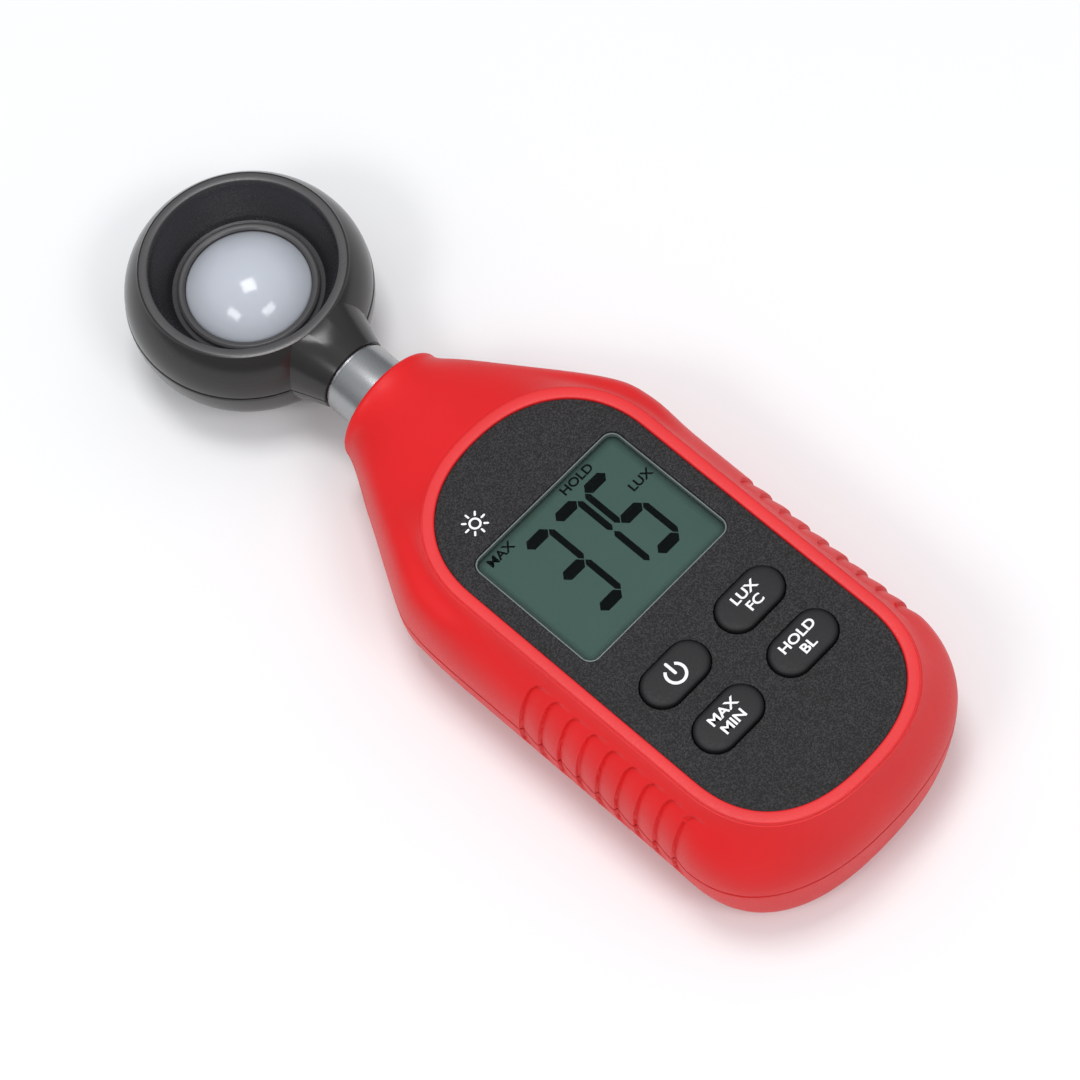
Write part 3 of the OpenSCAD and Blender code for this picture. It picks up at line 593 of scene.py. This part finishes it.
def grooves(rows, u_top, u_hook):
    """Sinks the stepped grips into the flank: a sharp step that faces the head and fades towards the
    foot. They run from the share u_top of the spokes down to the edge, and bend towards the foot
    above u_hook; with u_hook less than u_top they are straight."""
    n, k, _ = rows.shape
    normal = np.cross(np.gradient(rows, axis=0), np.gradient(rows, axis=1))
    normal /= np.maximum(np.linalg.norm(normal, axis=2, keepdims=True), 1e-9)
    outwards = np.sign(normal[:, :, 0:1])
    outwards[outwards == 0] = 1
    normal *= outwards
    u = np.linspace(0, 1, n)[:, None] * np.ones((1, k))
    bend = np.clip((u_hook - u) / max(1e-6, u_hook - u_top), 0, 1)
    hook = GROOVE_HOOK * (1 - np.sqrt(np.clip(1 - bend ** 2, 0, 1)))
    s = (GROOVE_TOP - hook - rows[:, :, 1]) / GROOVE_PITCH
    number = np.floor(s)
    p = s - number
    there = (number >= 0) & (number < GROOVE_COUNT)
    depth = np.where(there, np.clip(1 - p / GROOVE_RUN, 0, 1) ** 1.35, 0)
    depth *= smooth_step(p, 0.0, GROOVE_STEP)
    depth *= smooth_step(u, u_top - 0.02, u_top + 0.05)
    depth *= rows[:, :, 0] > GROOVE_MIN_X
    return rows - normal * (depth * GROOVE_DEPTH)[:, :, None]


def lip_rows(side):
    """From the neck's edge over its rounded end into the bore."""
    turn = [math.radians(90 * (1 - i / N_A)) for i in range(N_A + 1)]
    arc = [math.radians(15 * k) for k in range(7)]
    profile = [(BOSS_R - LIP * (1 - math.cos(t)), BOSS_Y - LIP + LIP * math.sin(t)) for t in arc]
    profile += [(BORE_R + 0.25, BOSS_Y), (BORE_R, BOSS_Y - 0.25), (BORE_R, BOSS_Y - 3.5)]
    rows = np.array([[(r * math.cos(a), y, SPLIT + side * r * math.sin(a)) for a in turn]
                     for r, y in profile])
    left = rows[:, ::-1, :].copy()
    left[:, :, 0] *= -1
    return np.concatenate([left[:, :-1], rows], axis=1)


# the parting line's section: (inwards, away from the split plane)
SPLIT_GAP = 0.34
PARTING = ((0.0, SPLIT_GAP), (0.07, 0.21), (0.22, 0.13), (0.5, 0.12), (2.0, 0.12))
PARTING_LIT = 3             # the first rows are red, the rest lies in the gap and is painted black as its shadow


def split_rows(edge, plain, side):
    """Below the last row: a small round into the parting groove, then inwards. plain is the edge
    before the grips were cut, and gives the direction inwards."""
    tx, ty = np.gradient(plain[:, 0]), np.gradient(plain[:, 1])
    length = np.maximum(np.hypot(tx, ty), 1e-9)
    nx, ny = ty / length, -tx / length
    nx[-1], ny[-1] = 0, 1
    rows = []
    for inset, up in PARTING:
        row = edge.copy()
        row[:, 0] += nx * inset
        row[:, 1] += ny * inset
        row[:, 2] = SPLIT + side * up
        rows.append(row)
    rows = np.array(rows)
    left = rows[:, -2::-1, :].copy()
    left[:, :, 0] *= -1
    return np.concatenate([rows, left], axis=1)


def shell(name, node, b, side, rows, passes, groove_span):
    """Smooths the spokes, cuts the grips, adds the parting line and the neck's lip."""
    plain = rows[-1].copy()
    rows = grooves(relax(rows, passes), *groove_span)
    away = side * (rows[-1, :, 2] - SPLIT)
    rows[-1, :, 2] = SPLIT + side * np.maximum(away, SPLIT_GAP)
    b.grid(mirror(rows), 0, closed=True)
    parting = split_rows(rows[-1, START_B:, :], plain[START_B:], side)
    b.grid(parting[:PARTING_LIT], 0)
    # the groove's inner rows carry the painted shadow
    b.grid(parting[PARTING_LIT - 1:], 2)
    b.grid(lip_rows(side), 0)
    make(name, b, [red, band_red, painted_shadow], "case", (node,), angle=32, weld=2e-6)


PANEL = dict(half=19.1, top=7.1, low=-73.0, arc_top=17.6, arc_low=16.9)
BACK = dict(half=20.2, top=12.0, low=-76.2, arc_top=14.0, arc_low=11.0)
# the raised band round the panel: (outwards from the panel, height); the front's spokes start at its end
BAND = ((0.10, 25.9), (0.10, 27.70), (2.02, 27.72), (2.10, 27.18), (2.3, 27.12))


def panel_outline(grow):
    """The panel's outline, grown outwards."""
    grown = {key: size + grow for key, size in PANEL.items()}
    grown["low"] = PANEL["low"] - grow
    return half_outline(**grown)


def front_shell():
    b = Build()
    b.grid(mirror([at_height(panel_outline(g), z) for g, z in rounded(BAND, 0.34, 5)]), 1, closed=True)
    band_out, band_z = BAND[-1]
    rows = spokes(panel_outline(band_out), band_z, 1, slope=0.8, n=56, hold=0.64, neck=0.30, foot=-0.30)
    shell("front_shell", "front_case", b, 1, rows, 240, (0.20, 0.42))


def rear_shell():
    rows = spokes(half_outline(**BACK), 0.0, -1, slope=0.0, n=48, hold=0.30, neck=0.24, foot=0.0)
    shell("rear_shell", "rear_case", Build(), -1, rows, 160, (0.70, 0.60))


def closed_outline(half):
    """Both halves of an outline whose right half starts and ends on the centre line."""
    return list(half) + [(-x, y) for x, y in half[-2:0:-1]]


# ---------------------------------------------------------------- panel, keys and print
KEYS = {key: node_centre("button_" + key) for key in ("power", "unit", "range", "hold")}
KEY_L, KEY_W = 12.5, 7.0
KEY_FOOT_Z, KEY_TOP_Z = 22.0, 28.06
# a key's edge: (inwards, height)
KEY_EDGE = ((0.0, KEY_FOOT_Z), (0.0, 27.35), (0.05, 27.62), (0.17, 27.82), (0.38, 27.95), (0.7, 28.0),
            (1.4, 28.03), (2.2, 28.05), (3.0, KEY_TOP_Z))
PRINT_Z = 28.085                            # the keys' print, just above their top
PANEL_PRINT_Z = 27.315                      # the panel's print
WIN_Y = node_centre("display_window")[1]    # the display's middle, width and length
WIN_W, WIN_L = 31.6, 25.4


def panel_plate():
    loops = [thin(closed_outline(panel_outline(-0.05)), 0.35)]
    loops.append(round_loop(0, WIN_Y, WIN_W + 0.35, WIN_L + 0.35, 2.1))
    loops += [pill_loop(x, y, KEY_L, KEY_W, 0.32) for x, y in KEYS.values()]
    flat_curve("panel_plate", loops, panel_dark, "case", z=26.7, half_t=0.6, bevel=0.14,
               replaces=("front_panel",))


def key_cap(key, cx, cy):
    """A pill with a softly crowned top, and a flange under the panel."""
    def loop(grow, z):
        return at_height(pill_loop(cx, cy, KEY_L, KEY_W, grow), z)

    b = Build()
    rows = [loop(-inwards, z) for inwards, z in KEY_EDGE]
    b.grid(rows, 0, closed=True)
    b.fan(rows[-1], (cx, cy, KEY_TOP_Z))
    flange, flange_z = 0.7, KEY_FOOT_Z + 1.0
    b.fan(loop(flange, KEY_FOOT_Z), (cx, cy, KEY_FOOT_Z))
    b.grid([loop(flange, KEY_FOOT_Z), loop(flange, flange_z), loop(0.0, flange_z)], 0, closed=True)
    make("key_cap_" + key, b, rubber, "button_" + key, ("button_" + key,), angle=40)


def word_shape(name, word, x, y, z, size, bold, wide):
    """Points in millimetres and faces of one word, centred on x, y."""
    cu = bpy.data.curves.new(name, "FONT")
    cu.body, cu.size, cu.align_x, cu.align_y = word, size * MM, "CENTER", "CENTER"
    cu.extrude, cu.offset = 0.012 * MM, bold * MM
    cu.resolution_u = 4
    me = mesh_of(show(name + "_t", cu))
    me.transform(Matrix.Diagonal((wide, 1, 1, 1)))
    me.transform(Matrix.Translation((x * MM, y * MM, z * MM)))
    return [tuple(c / MM for c in p.co) for p in me.vertices], [tuple(p.vertices) for p in me.polygons]


def flat_print(name, shapes, mat, body):
    """One piece from flat shapes, each of them (points, faces)."""
    b = Build()
    for points, faces in shapes:
        b.add(points, faces)
    make(name, b, mat, body, angle=30, weld=0)


def arc_stroke(cx, cy, r, w, a0, a1, z, n=40):
    """Flat ring sector, counter-clockwise from a0 to a1 in degrees."""
    v = []
    for i in range(n + 1):
        a = math.radians(a0 + (a1 - a0) * i / n)
        for q in (r - w / 2, r + w / 2):
            v.append((cx + q * math.cos(a), cy + q * math.sin(a), z))
    return v, [(2 * i, 2 * i + 1, 2 * i + 3, 2 * i + 2) for i in range(n)]


def bar(x0, y0, x1, y1, w, z, cap=6):
    """Flat bar with round ends."""
    a0 = math.atan2(y1 - y0, x1 - x0)
    pts = []
    for (cx, cy), s in (((x1, y1), -90), ((x0, y0), 90)):
        for i in range(cap + 1):
            a = a0 + math.radians(s + 180 * i / cap)
            pts.append((cx + w / 2 * math.cos(a), cy + w / 2 * math.sin(a), z))
    return pts, [tuple(range(len(pts)))]


def power_print():
    """The usual power sign: an open ring and a bar."""
    cx, cy = KEYS["power"]
    stroke = 0.5
    ring = arc_stroke(cx, cy - 0.15, 1.62, stroke, 128, 412, PRINT_Z)
    stem = bar(cx, cy - 0.05, cx, cy + 1.95, stroke, PRINT_Z)
    flat_print("print_power", [ring, stem], print_white, "button_power")


def key_print(key, words):
    """Two words, one above the other."""
    cx, cy = KEYS[key]
    pitch = 2.3
    lines = [word_shape("print_" + key, word, cx, cy + up * pitch, PRINT_Z, size=2.2, bold=0.05, wide=1.18)
             for word, up in zip(words, (0.5, -0.5))]
    flat_print("print_" + key, lines, print_white, "button_" + key)


def sun_print():
    """A plain sun sign on the panel, above the display."""
    x, y = -10.2, -2.6
    stroke, disc_r, ray_start, ray_end = 0.34, 0.85, 1.45, 2.0
    parts = [arc_stroke(x, y, disc_r, stroke, 0, 360, PANEL_PRINT_Z)]
    for i in range(8):
        dx, dy = math.cos(math.radians(45 * i)), math.sin(math.radians(45 * i))
        parts.append(bar(x + ray_start * dx, y + ray_start * dy, x + ray_end * dx, y + ray_end * dy,
                         stroke, PANEL_PRINT_Z))
    flat_print("print_sun", parts, print_white, "case")


# ---------------------------------------------------------------- display
FACE_Z, DIGIT_Z = 25.9, 25.93               # the display's face, and the marks on it
# width of each step of the face, from the edge with the deepest painted shade inwards, and its material
# number
FACE_STEPS = ((WIN_W, 0), (30.9, 0), (30.2, 1), (29.4, 2), (28.5, 3))
# the two ends of each bar of a digit, as shares of its width and height
SEGMENTS = {"a": ((0, 1), (1, 1)), "b": ((1, 1), (1, 0.5)), "c": ((1, 0.5), (1, 0)), "d": ((0, 0), (1, 0)),
            "e": ((0, 0.5), (0, 0)), "f": ((0, 1), (0, 0.5)), "g": ((0, 0.5), (1, 0.5))}
LEVEL_SEGMENTS = "adg"
DIGITS = {"3": "abgcd", "7": "abc", "5": "afgcd"}


def window_pane():
    loop = round_loop(0, WIN_Y, WIN_W - 0.3, WIN_L - 0.3, 1.9)
    b = Build()
    b.grid([at_height(loop, 26.35), at_height(loop, 26.98)], 0, closed=True)
    b.cap(len(loop))
    b.face(range(len(loop) - 1, -1, -1))
    make("window_pane", b, window_clear, "case", ("display_window",), angle=30)


def display_face():
    """Rings of the display's green, with painted shade that deepens towards the window's edge."""
    def loop(w):
        inwards = (WIN_W - w) / 2
        return at_height(round_loop(0, WIN_Y, w, WIN_L - 2 * inwards, max(0.3, 2.0 - inwards)), FACE_Z)

    b = Build()
    for (outer, tone), (inner, _) in zip(FACE_STEPS, FACE_STEPS[1:]):
        b.grid([loop(outer), loop(inner)], tone, closed=True)
    b.cap(len(loop(WIN_W)), 3)
    make("display_face", b, [lcd_painted_shade_edge, lcd_painted_shade_mid, lcd_painted_shade_soft, lcd_green], "case", angle=30)


def window_edge_highlight():
    """The window's cut edge, painted pale as the highlight its clear bevel catches. Its section: (inwards,
    height).
    """
    section = ((0.0, 26.2), (0.0, 26.96), (0.06, 27.04), (0.2, 27.04), (0.26, 26.98), (0.26, 26.2))
    b = Build()
    b.grid([at_height(round_loop(0, WIN_Y, WIN_W - 0.04 - 2 * g, WIN_L - 0.04 - 2 * g, 1.98 - g), z)
            for g, z in section], 0, closed=True)
    make("window_edge_highlight", b, painted_edge_highlight, "case", angle=30)


def segment(p, q, w, gap, point):
    """A pointed bar from p to q, short of each by gap."""
    p, q = np.array(p, float), np.array(q, float)
    d = (q - p) / np.linalg.norm(q - p)
    n = np.array([-d[1], d[0]])
    a, c = p + d * gap, q - d * gap
    h, k = w / 2, w * point
    return [a, a + d * k + n * h, c - d * k + n * h, c, c - d * k - n * h, a + d * k - n * h]


def display_digits(text):
    """Seven-bar digits. The upright bars are thinner than the level ones."""
    x0, y0, w, h, pitch, thick = -7.75, -26.5, 4.8, 15.4, 6.45, 1.95
    bars = []
    for k, digit in enumerate(text):
        for s in DIGITS[digit]:
            (ax, ay), (bx, by) = SEGMENTS[s]
            across, point = (thick, 0.42) if s in LEVEL_SEGMENTS else (thick * 0.57, 0.6)
            pts = segment((ax * w, ay * h), (bx * w, by * h), across, 0.12, point)
            pts = [(x0 + k * pitch + px, y0 + py, DIGIT_Z) for px, py in pts]
            bars.append((pts, [range(len(pts))]))
    flat_print("display_digits", bars, ink, "case")


def display_word(word, x, y):
    name = "display_" + word.lower()
    shape = word_shape(name, word, x, y, DIGIT_Z, size=2.1, bold=0.045, wide=1.12)
    flat_print(name, [shape], ink, "case")


# ---------------------------------------------------------------- sensor head
HEAD_R = node_box("head_front")[1][0]
BACK_R, HEAD_END, _ = node_box("head_rear")[1]
HEAD_Y = HEAD_END - BACK_R
HEAD_CENTRE = (0, HEAD_Y, SPLIT)
NECK_AXIS = (0, 0, SPLIT)
RIM_Z, BOWL_Z = 21.65, 13.9                 # the bowl's rim and floor
FRONT_RISE = 15.1                           # half height of the front's ellipse
BACK_Z, BACK_POWER = 0.5, 2.6               # the head's flat back, and how square its side is
BACK_DROP = SPLIT - BACK_Z + 0.4            # depth of the back's curve, just past the flat
SCREW_CIRCLE_R = 16                         # the three screws' distance from the middle
SCREW_RECESS_R, SCREW_SEAT_Z = 1.7, 6.3
DOME_R = node_box("diffuser_dome")[1][0]
DOME_RISE, DOME_FOOT_Z = 5.1, 14.15


def front_r(z):
    return HEAD_R * math.sqrt(max(0.0, 1 - ((z - SPLIT) / FRONT_RISE) ** 2))


def back_r(z):
    return BACK_R * max(0.0, 1 - ((SPLIT - z) / BACK_DROP) ** BACK_POWER) ** (1 / BACK_POWER)


def back_z(x, y):
    r = min(1.0, math.hypot(x, y - HEAD_Y) / BACK_R)
    return SPLIT - BACK_DROP * (1 - r ** BACK_POWER) ** (1 / BACK_POWER)


def head_bowl():
    """The front shell of the head: outside, rim and the bowl round the dome."""
    b = Build()
    outside = [(HEAD_R - 1.6, SPLIT + 0.06), (HEAD_R - 0.35, SPLIT + 0.06), (HEAD_R - 0.12, SPLIT + 0.12),
               (HEAD_R - 0.02, SPLIT + 0.3)]
    outside += [(front_r(z), z) for z in np.linspace(SPLIT + 0.5, RIM_Z - 0.25, 30)]
    outside += [(front_r(RIM_Z - 0.2) - 0.06, RIM_Z - 0.08), (16.82, RIM_Z)]
    rim = [(16.82, RIM_Z), (16.6, RIM_Z + 0.03), (15.75, RIM_Z + 0.03), (15.58, RIM_Z - 0.03),
           (15.48, RIM_Z - 0.2)]
    bowl = [(15.48, RIM_Z - 0.2), (15.30, RIM_Z - 1.2), (15.0, RIM_Z - 2.4), (13.9, 16.6), (12.9, 14.4),
            (12.5, BOWL_Z + 0.05), (11.72, BOWL_Z)]
    for profile, mat in ((outside, 0), (rim, 2), (bowl, 1)):
        lathe(b, profile, HEAD_CENTRE, 240, mat=mat)
    make("head_bowl", b, [gunmetal, bowl_dark, rim_grey], "head", ("head_front",),
         angle=34)


def pierce(b, cx, cy):
    """Opens a screw recess in the turned back: inner faces go, nearby points move onto its edge."""
    r, top_z = SCREW_RECESS_R, 8
    near = [math.hypot(v[0] - cx, v[1] - cy) if v[2] < top_z else math.inf for v in b.v]
    keep = [i for i, q in enumerate(b.f) if any(near[j] > r for j in q)]
    b.f, b.m = [b.f[i] for i in keep], [b.m[i] for i in keep]
    for j in {j for q in b.f for j in q}:
        if near[j] < r:
            k = r / max(near[j], 1e-6)
            x, y = cx + (b.v[j][0] - cx) * k, cy + (b.v[j][1] - cy) * k
            b.v[j] = [x, y, back_z(x, y)]
    ring = circle(cx, cy, r, 48)
    seat = circle(cx, cy, r * 0.5, 48)
    b.grid([[(x, y, back_z(x, y) - 0.01) for x, y in ring], at_height(ring, SCREW_SEAT_Z),
            at_height(seat, SCREW_SEAT_Z)], 0, closed=True)


def head_back():
    b = Build()
    turn_z = 1.2                            # below it the side rounds into the flat back
    side = [(HEAD_R - 1.4, SPLIT - 0.06), (HEAD_R - 0.2, SPLIT - 0.06), (HEAD_R + 0.04, SPLIT - 0.12),
            (BACK_R, SPLIT - 0.3)]
    side += [(back_r(z), z) for z in np.linspace(SPLIT - 0.6, turn_z, 34)]
    edge_r = back_r(turn_z)
    flat = [(edge_r - 0.7, 0.86), (edge_r - 1.7, 0.62)] + [(r, BACK_Z) for r in (edge_r - 3.2, 5.0, 0.01)]
    lathe(b, side + flat, HEAD_CENTRE, 240)
    for turn in (90, 210, 330):
        a = math.radians(turn)
        pierce(b, SCREW_CIRCLE_R * math.cos(a), HEAD_Y + SCREW_CIRCLE_R * math.sin(a))
    make("head_back", b, gunmetal, "head", ("head_rear",), angle=34)


def neck_stub():
    """The head's flared neck: half on each shell, round a core painted black as the shadow in the seam
    between them.
    """
    flare = [(4.3, 36.1), (4.3, 35.8), (6.25, 35.8), (6.5, 35.95), (6.6, 36.25), (7.4, 38.4), (8.35, 40.8),
             (9.6, 43.4)]
    gap = 0.9                               # degrees that each half stays clear of the split
    for name, start in (("stub_front", 0), ("stub_rear", 180)):
        b = Build()
        lathe(b, flare, NECK_AXIS, 120, "y", start + gap, start + 180 - gap)
        b.v = [(x, y, min(z, RIM_Z - 0.12)) for x, y, z in b.v]
        make(name, b, gunmetal, "head", angle=34)
    # the core is painted shadow, seen through the seam between the halves
    b = Build()
    lathe(b, [(4.2, 36.0), (6.2, 36.0), (6.25, 36.4), (8.0, 41.0)], NECK_AXIS, 120, "y")
    make("stub_core", b, painted_shadow, "head", angle=34)


def sleeve():
    """The silver tube between the case and the head."""
    low, high, bore, outer = 24.5, 35.3, 4.2, 6.32
    b = Build()
    lathe(b, rounded([(bore, low), (outer, low), (outer, high), (bore, high)], 0.16, 4), NECK_AXIS, 160, "y")
    lathe(b, [(bore + 0.05, low), (bore + 0.05, high + 0.5)], NECK_AXIS, 160, "y")
    make("sleeve", b, silver, "head", ("neck_sleeve",), angle=34)


def dome_ring():
    inner, outer = 10.38, 11.72
    section = [(inner, BOWL_Z + 0.05), (inner, 14.45), (10.75, 14.72), (11.3, 14.76), (outer, 14.45),
               (outer, BOWL_Z)]
    b = Build()
    lathe(b, rounded(section, 0.12, 4), HEAD_CENTRE, 200)
    make("dome_ring", b, ring_grey, "head", ("sensor_ring",), angle=40)


def opal_dome():
    """A cap of a ball on a short wall."""
    ball_r = (DOME_R ** 2 + DOME_RISE ** 2) / (2 * DOME_RISE)
    centre_z = DOME_FOOT_Z + DOME_RISE - ball_r
    steps = 39
    profile = [(DOME_R, 13.2), (DOME_R, DOME_FOOT_Z - 0.1)]
    for i in range(steps + 1):
        r = (DOME_R - 0.02) * (1 - i / steps)
        profile.append((max(0.005, r), centre_z + math.sqrt(ball_r ** 2 - r * r)))
    b = Build()
    lathe(b, profile, HEAD_CENTRE, 200)
    make("opal_dome", b, dome_white, "head", ("diffuser_dome",), angle=50)


# ---------------------------------------------------------------- back of the case
TOP_POSTS, LOW_POSTS = [(13.0, 5.5), (-13.0, 5.5)], [(12.5, -69.4), (-12.5, -69.4)]
DOOR_SCREW = node_centre("door_screw")
BAY_LOW_Z, BAY_TOP_Z = 1.5, 12.95           # the bay's walls, from the ledge up to its end face


def back_plate():
    """The flat back, with the door's opening and two screw holes."""
    loops = [thin(closed_outline(half_outline(**BACK)), 0.4), rect(17.62, -72.98, -15.48, 0.6)]
    loops += [circle(x, y, 2.52) for x, y in TOP_POSTS]
    flat_curve("back_plate", loops, red, "case", z=0.7, half_t=0.7, bevel=0.12)


def bay_ledge():
    loops = [rect(17.85, -73.2, -15.2, 1.6), rect(16.65, -65.55, -16.45, 0.6)]
    loops += [circle(x, y, 2.45) for x, y in LOW_POSTS] + [circle(*DOOR_SCREW, 1.95)]
    flat_curve("bay_ledge", loops, red, "case", z=1.7, half_t=0.3, bevel=0.05)


def bay_walls():
    """The battery bay, its low ribs between the cells, and the screws' recesses."""
    b = Build()
    bay = rect(16.6, -65.5, -16.5, 0.6)
    b.grid([at_height(bay, z) for z in (BAY_LOW_Z, 12.6, BAY_TOP_Z)], 0, closed=True)
    b.cap(len(bay))
    for x in (-5.3, 5.3):
        for y in (-62.5, -19.5):
            rib = [at_height([(x - w, y - l), (x - w, y + l), (x + w, y + l), (x + w, y - l)], z)
                   for w, l, z in ((0.5, 3, BAY_TOP_Z), (0.35, 2.8, 9.6))]
            b.grid(rib, 0, closed=True)
            b.cap(4)
    seat_z = 3.4
    for posts, start_z in ((TOP_POSTS, 0.3), (LOW_POSTS, BAY_LOW_Z)):
        for x, y in posts:
            lathe(b, [(2.4, start_z), (2.4, seat_z), (1.0, seat_z)], (x, y, 0), 40)
    lathe(b, [(1.9, BAY_LOW_Z), (1.9, 7.8)], (*DOOR_SCREW, 0), 40)
    make("bay_walls", b, red, "case", angle=30)


def battery_door():
    """An outer skin whose narrowing slots form the arrow mark, on a core that closes the slots."""
    edge = rect(17.32, -72.72, -15.78, 0.5)
    slots = [round_loop(0, -24 - 2.2 * i, 2 * (6 - i) + 0.16, 1.16, 0.5) for i in range(6)]
    flat_curve("door_skin", [edge, circle(*DOOR_SCREW, 2.5)] + slots, red, "door", z=0.37,
               half_t=0.22, bevel=0.08, replaces=("battery_door",))
    flat_curve("door_core", [edge, circle(*DOOR_SCREW, 1.45)], red, "door", z=0.93,
               half_t=0.42, bevel=0.08)


# ---------------------------------------------------------------- floor, light and camera
def floor():
    s = 6.0
    me = bpy.data.meshes.new("floor")
    me.from_pydata([(-s, -s, 0), (s, -s, 0), (s, s, 0), (-s, s, 0)], [], [(0, 1, 2, 3)])
    me.materials.append(material("floor_pale", (0.90, 0.90, 0.90), rough=0.85, var=0.01, var_scale=3,
                                 grain=60, bump=0.02, bump_mm=0.1))
    show("floor", me)


def soft_room():
    """Pale light from all round, stronger from above."""
    world = bpy.data.worlds.new("soft_room")
    bpy.context.scene.world = world
    world.use_nodes = True
    sky = world.node_tree
    background = sky.nodes["Background"]
    background.inputs[0].default_value = (0.93, 0.96, 1.0, 1)
    place = sky.nodes.new("ShaderNodeTexCoord")
    height = sky.nodes.new("ShaderNodeSeparateXYZ")
    strength = sky.nodes.new("ShaderNodeMapRange")
    ends = {"From Min": 0.05, "From Max": 0.9, "To Min": 0.27, "To Max": 0.70}
    for socket, value in ends.items():
        strength.inputs[socket].default_value = value
    sky.links.new(place.outputs["Generated"], height.inputs[0])
    sky.links.new(height.outputs[2], strength.inputs["Value"])
    sky.links.new(strength.outputs[0], background.inputs[1])


def area_light(name, place, aim, size, power, size_y=None):
    la = bpy.data.lights.new(name, "AREA")
    la.energy = power
    la.shape, la.size, la.size_y = "RECTANGLE", size, size_y or size
    ob = show(name, la)
    ob.location = place
    ob.rotation_euler = (Vector(aim) - Vector(place)).to_track_quat("-Z", "Y").to_euler()


def photo_camera():
    """The photograph's view. turn is the rotation vector from the world to the camera, whose Y points
    down and whose Z points forward; Blender's camera has both the other way round."""
    place, turn = (-0.1763, -0.2251, 0.5903), Vector((2.4732878, -1.0852245, 0.1606267))
    cam = bpy.data.cameras.new("photo_camera")
    cam.sensor_width, cam.lens = 36.0, 136.48
    cam.clip_start, cam.clip_end = 0.05, 50
    ob = show("photo_camera", cam)
    world_to_cam = Matrix.Rotation(turn.length, 3, turn.normalized())
    to_blender = world_to_cam.transposed() @ Matrix(((1, 0, 0), (0, -1, 0), (0, 0, -1)))
    ob.matrix_world = Matrix.Translation(place) @ to_blender.to_4x4()
    bpy.context.scene.camera = ob
    bpy.context.scene.view_settings.view_transform = "Standard"


# ---------------------------------------------------------------- the whole meter
front_shell()
panel_plate()
for key, (cx, cy) in KEYS.items():
    key_cap(key, cx, cy)
power_print()
key_print("unit", ("LUX", "FC"))
key_print("range", ("MAX", "MIN"))
key_print("hold", ("HOLD", "BL"))
sun_print()
window_pane()
display_face()
window_edge_highlight()
display_digits("375")
display_word("MAX", -11.0, -8.7)
display_word("HOLD", 6.1, -8.6)
display_word("LUX", 12.6, -16.0)
head_bowl()
head_back()
neck_stub()
sleeve()
dome_ring()
opal_dome()
rear_shell()
back_plate()
bay_ledge()
bay_walls()
battery_door()

floor()
soft_room()
area_light("key", (0.08, 0.17, 1.12), (0, 0, 0.02), 0.36, 4.1)
area_light("left", (-0.655, -0.014, 0.775), (0, 0, 0.01), 0.34, 1.9, size_y=0.2)
area_light("front", (0.01, -0.574, 0.796), (0, -0.02, 0.01), 0.34, 1.75, size_y=0.2)
photo_camera()
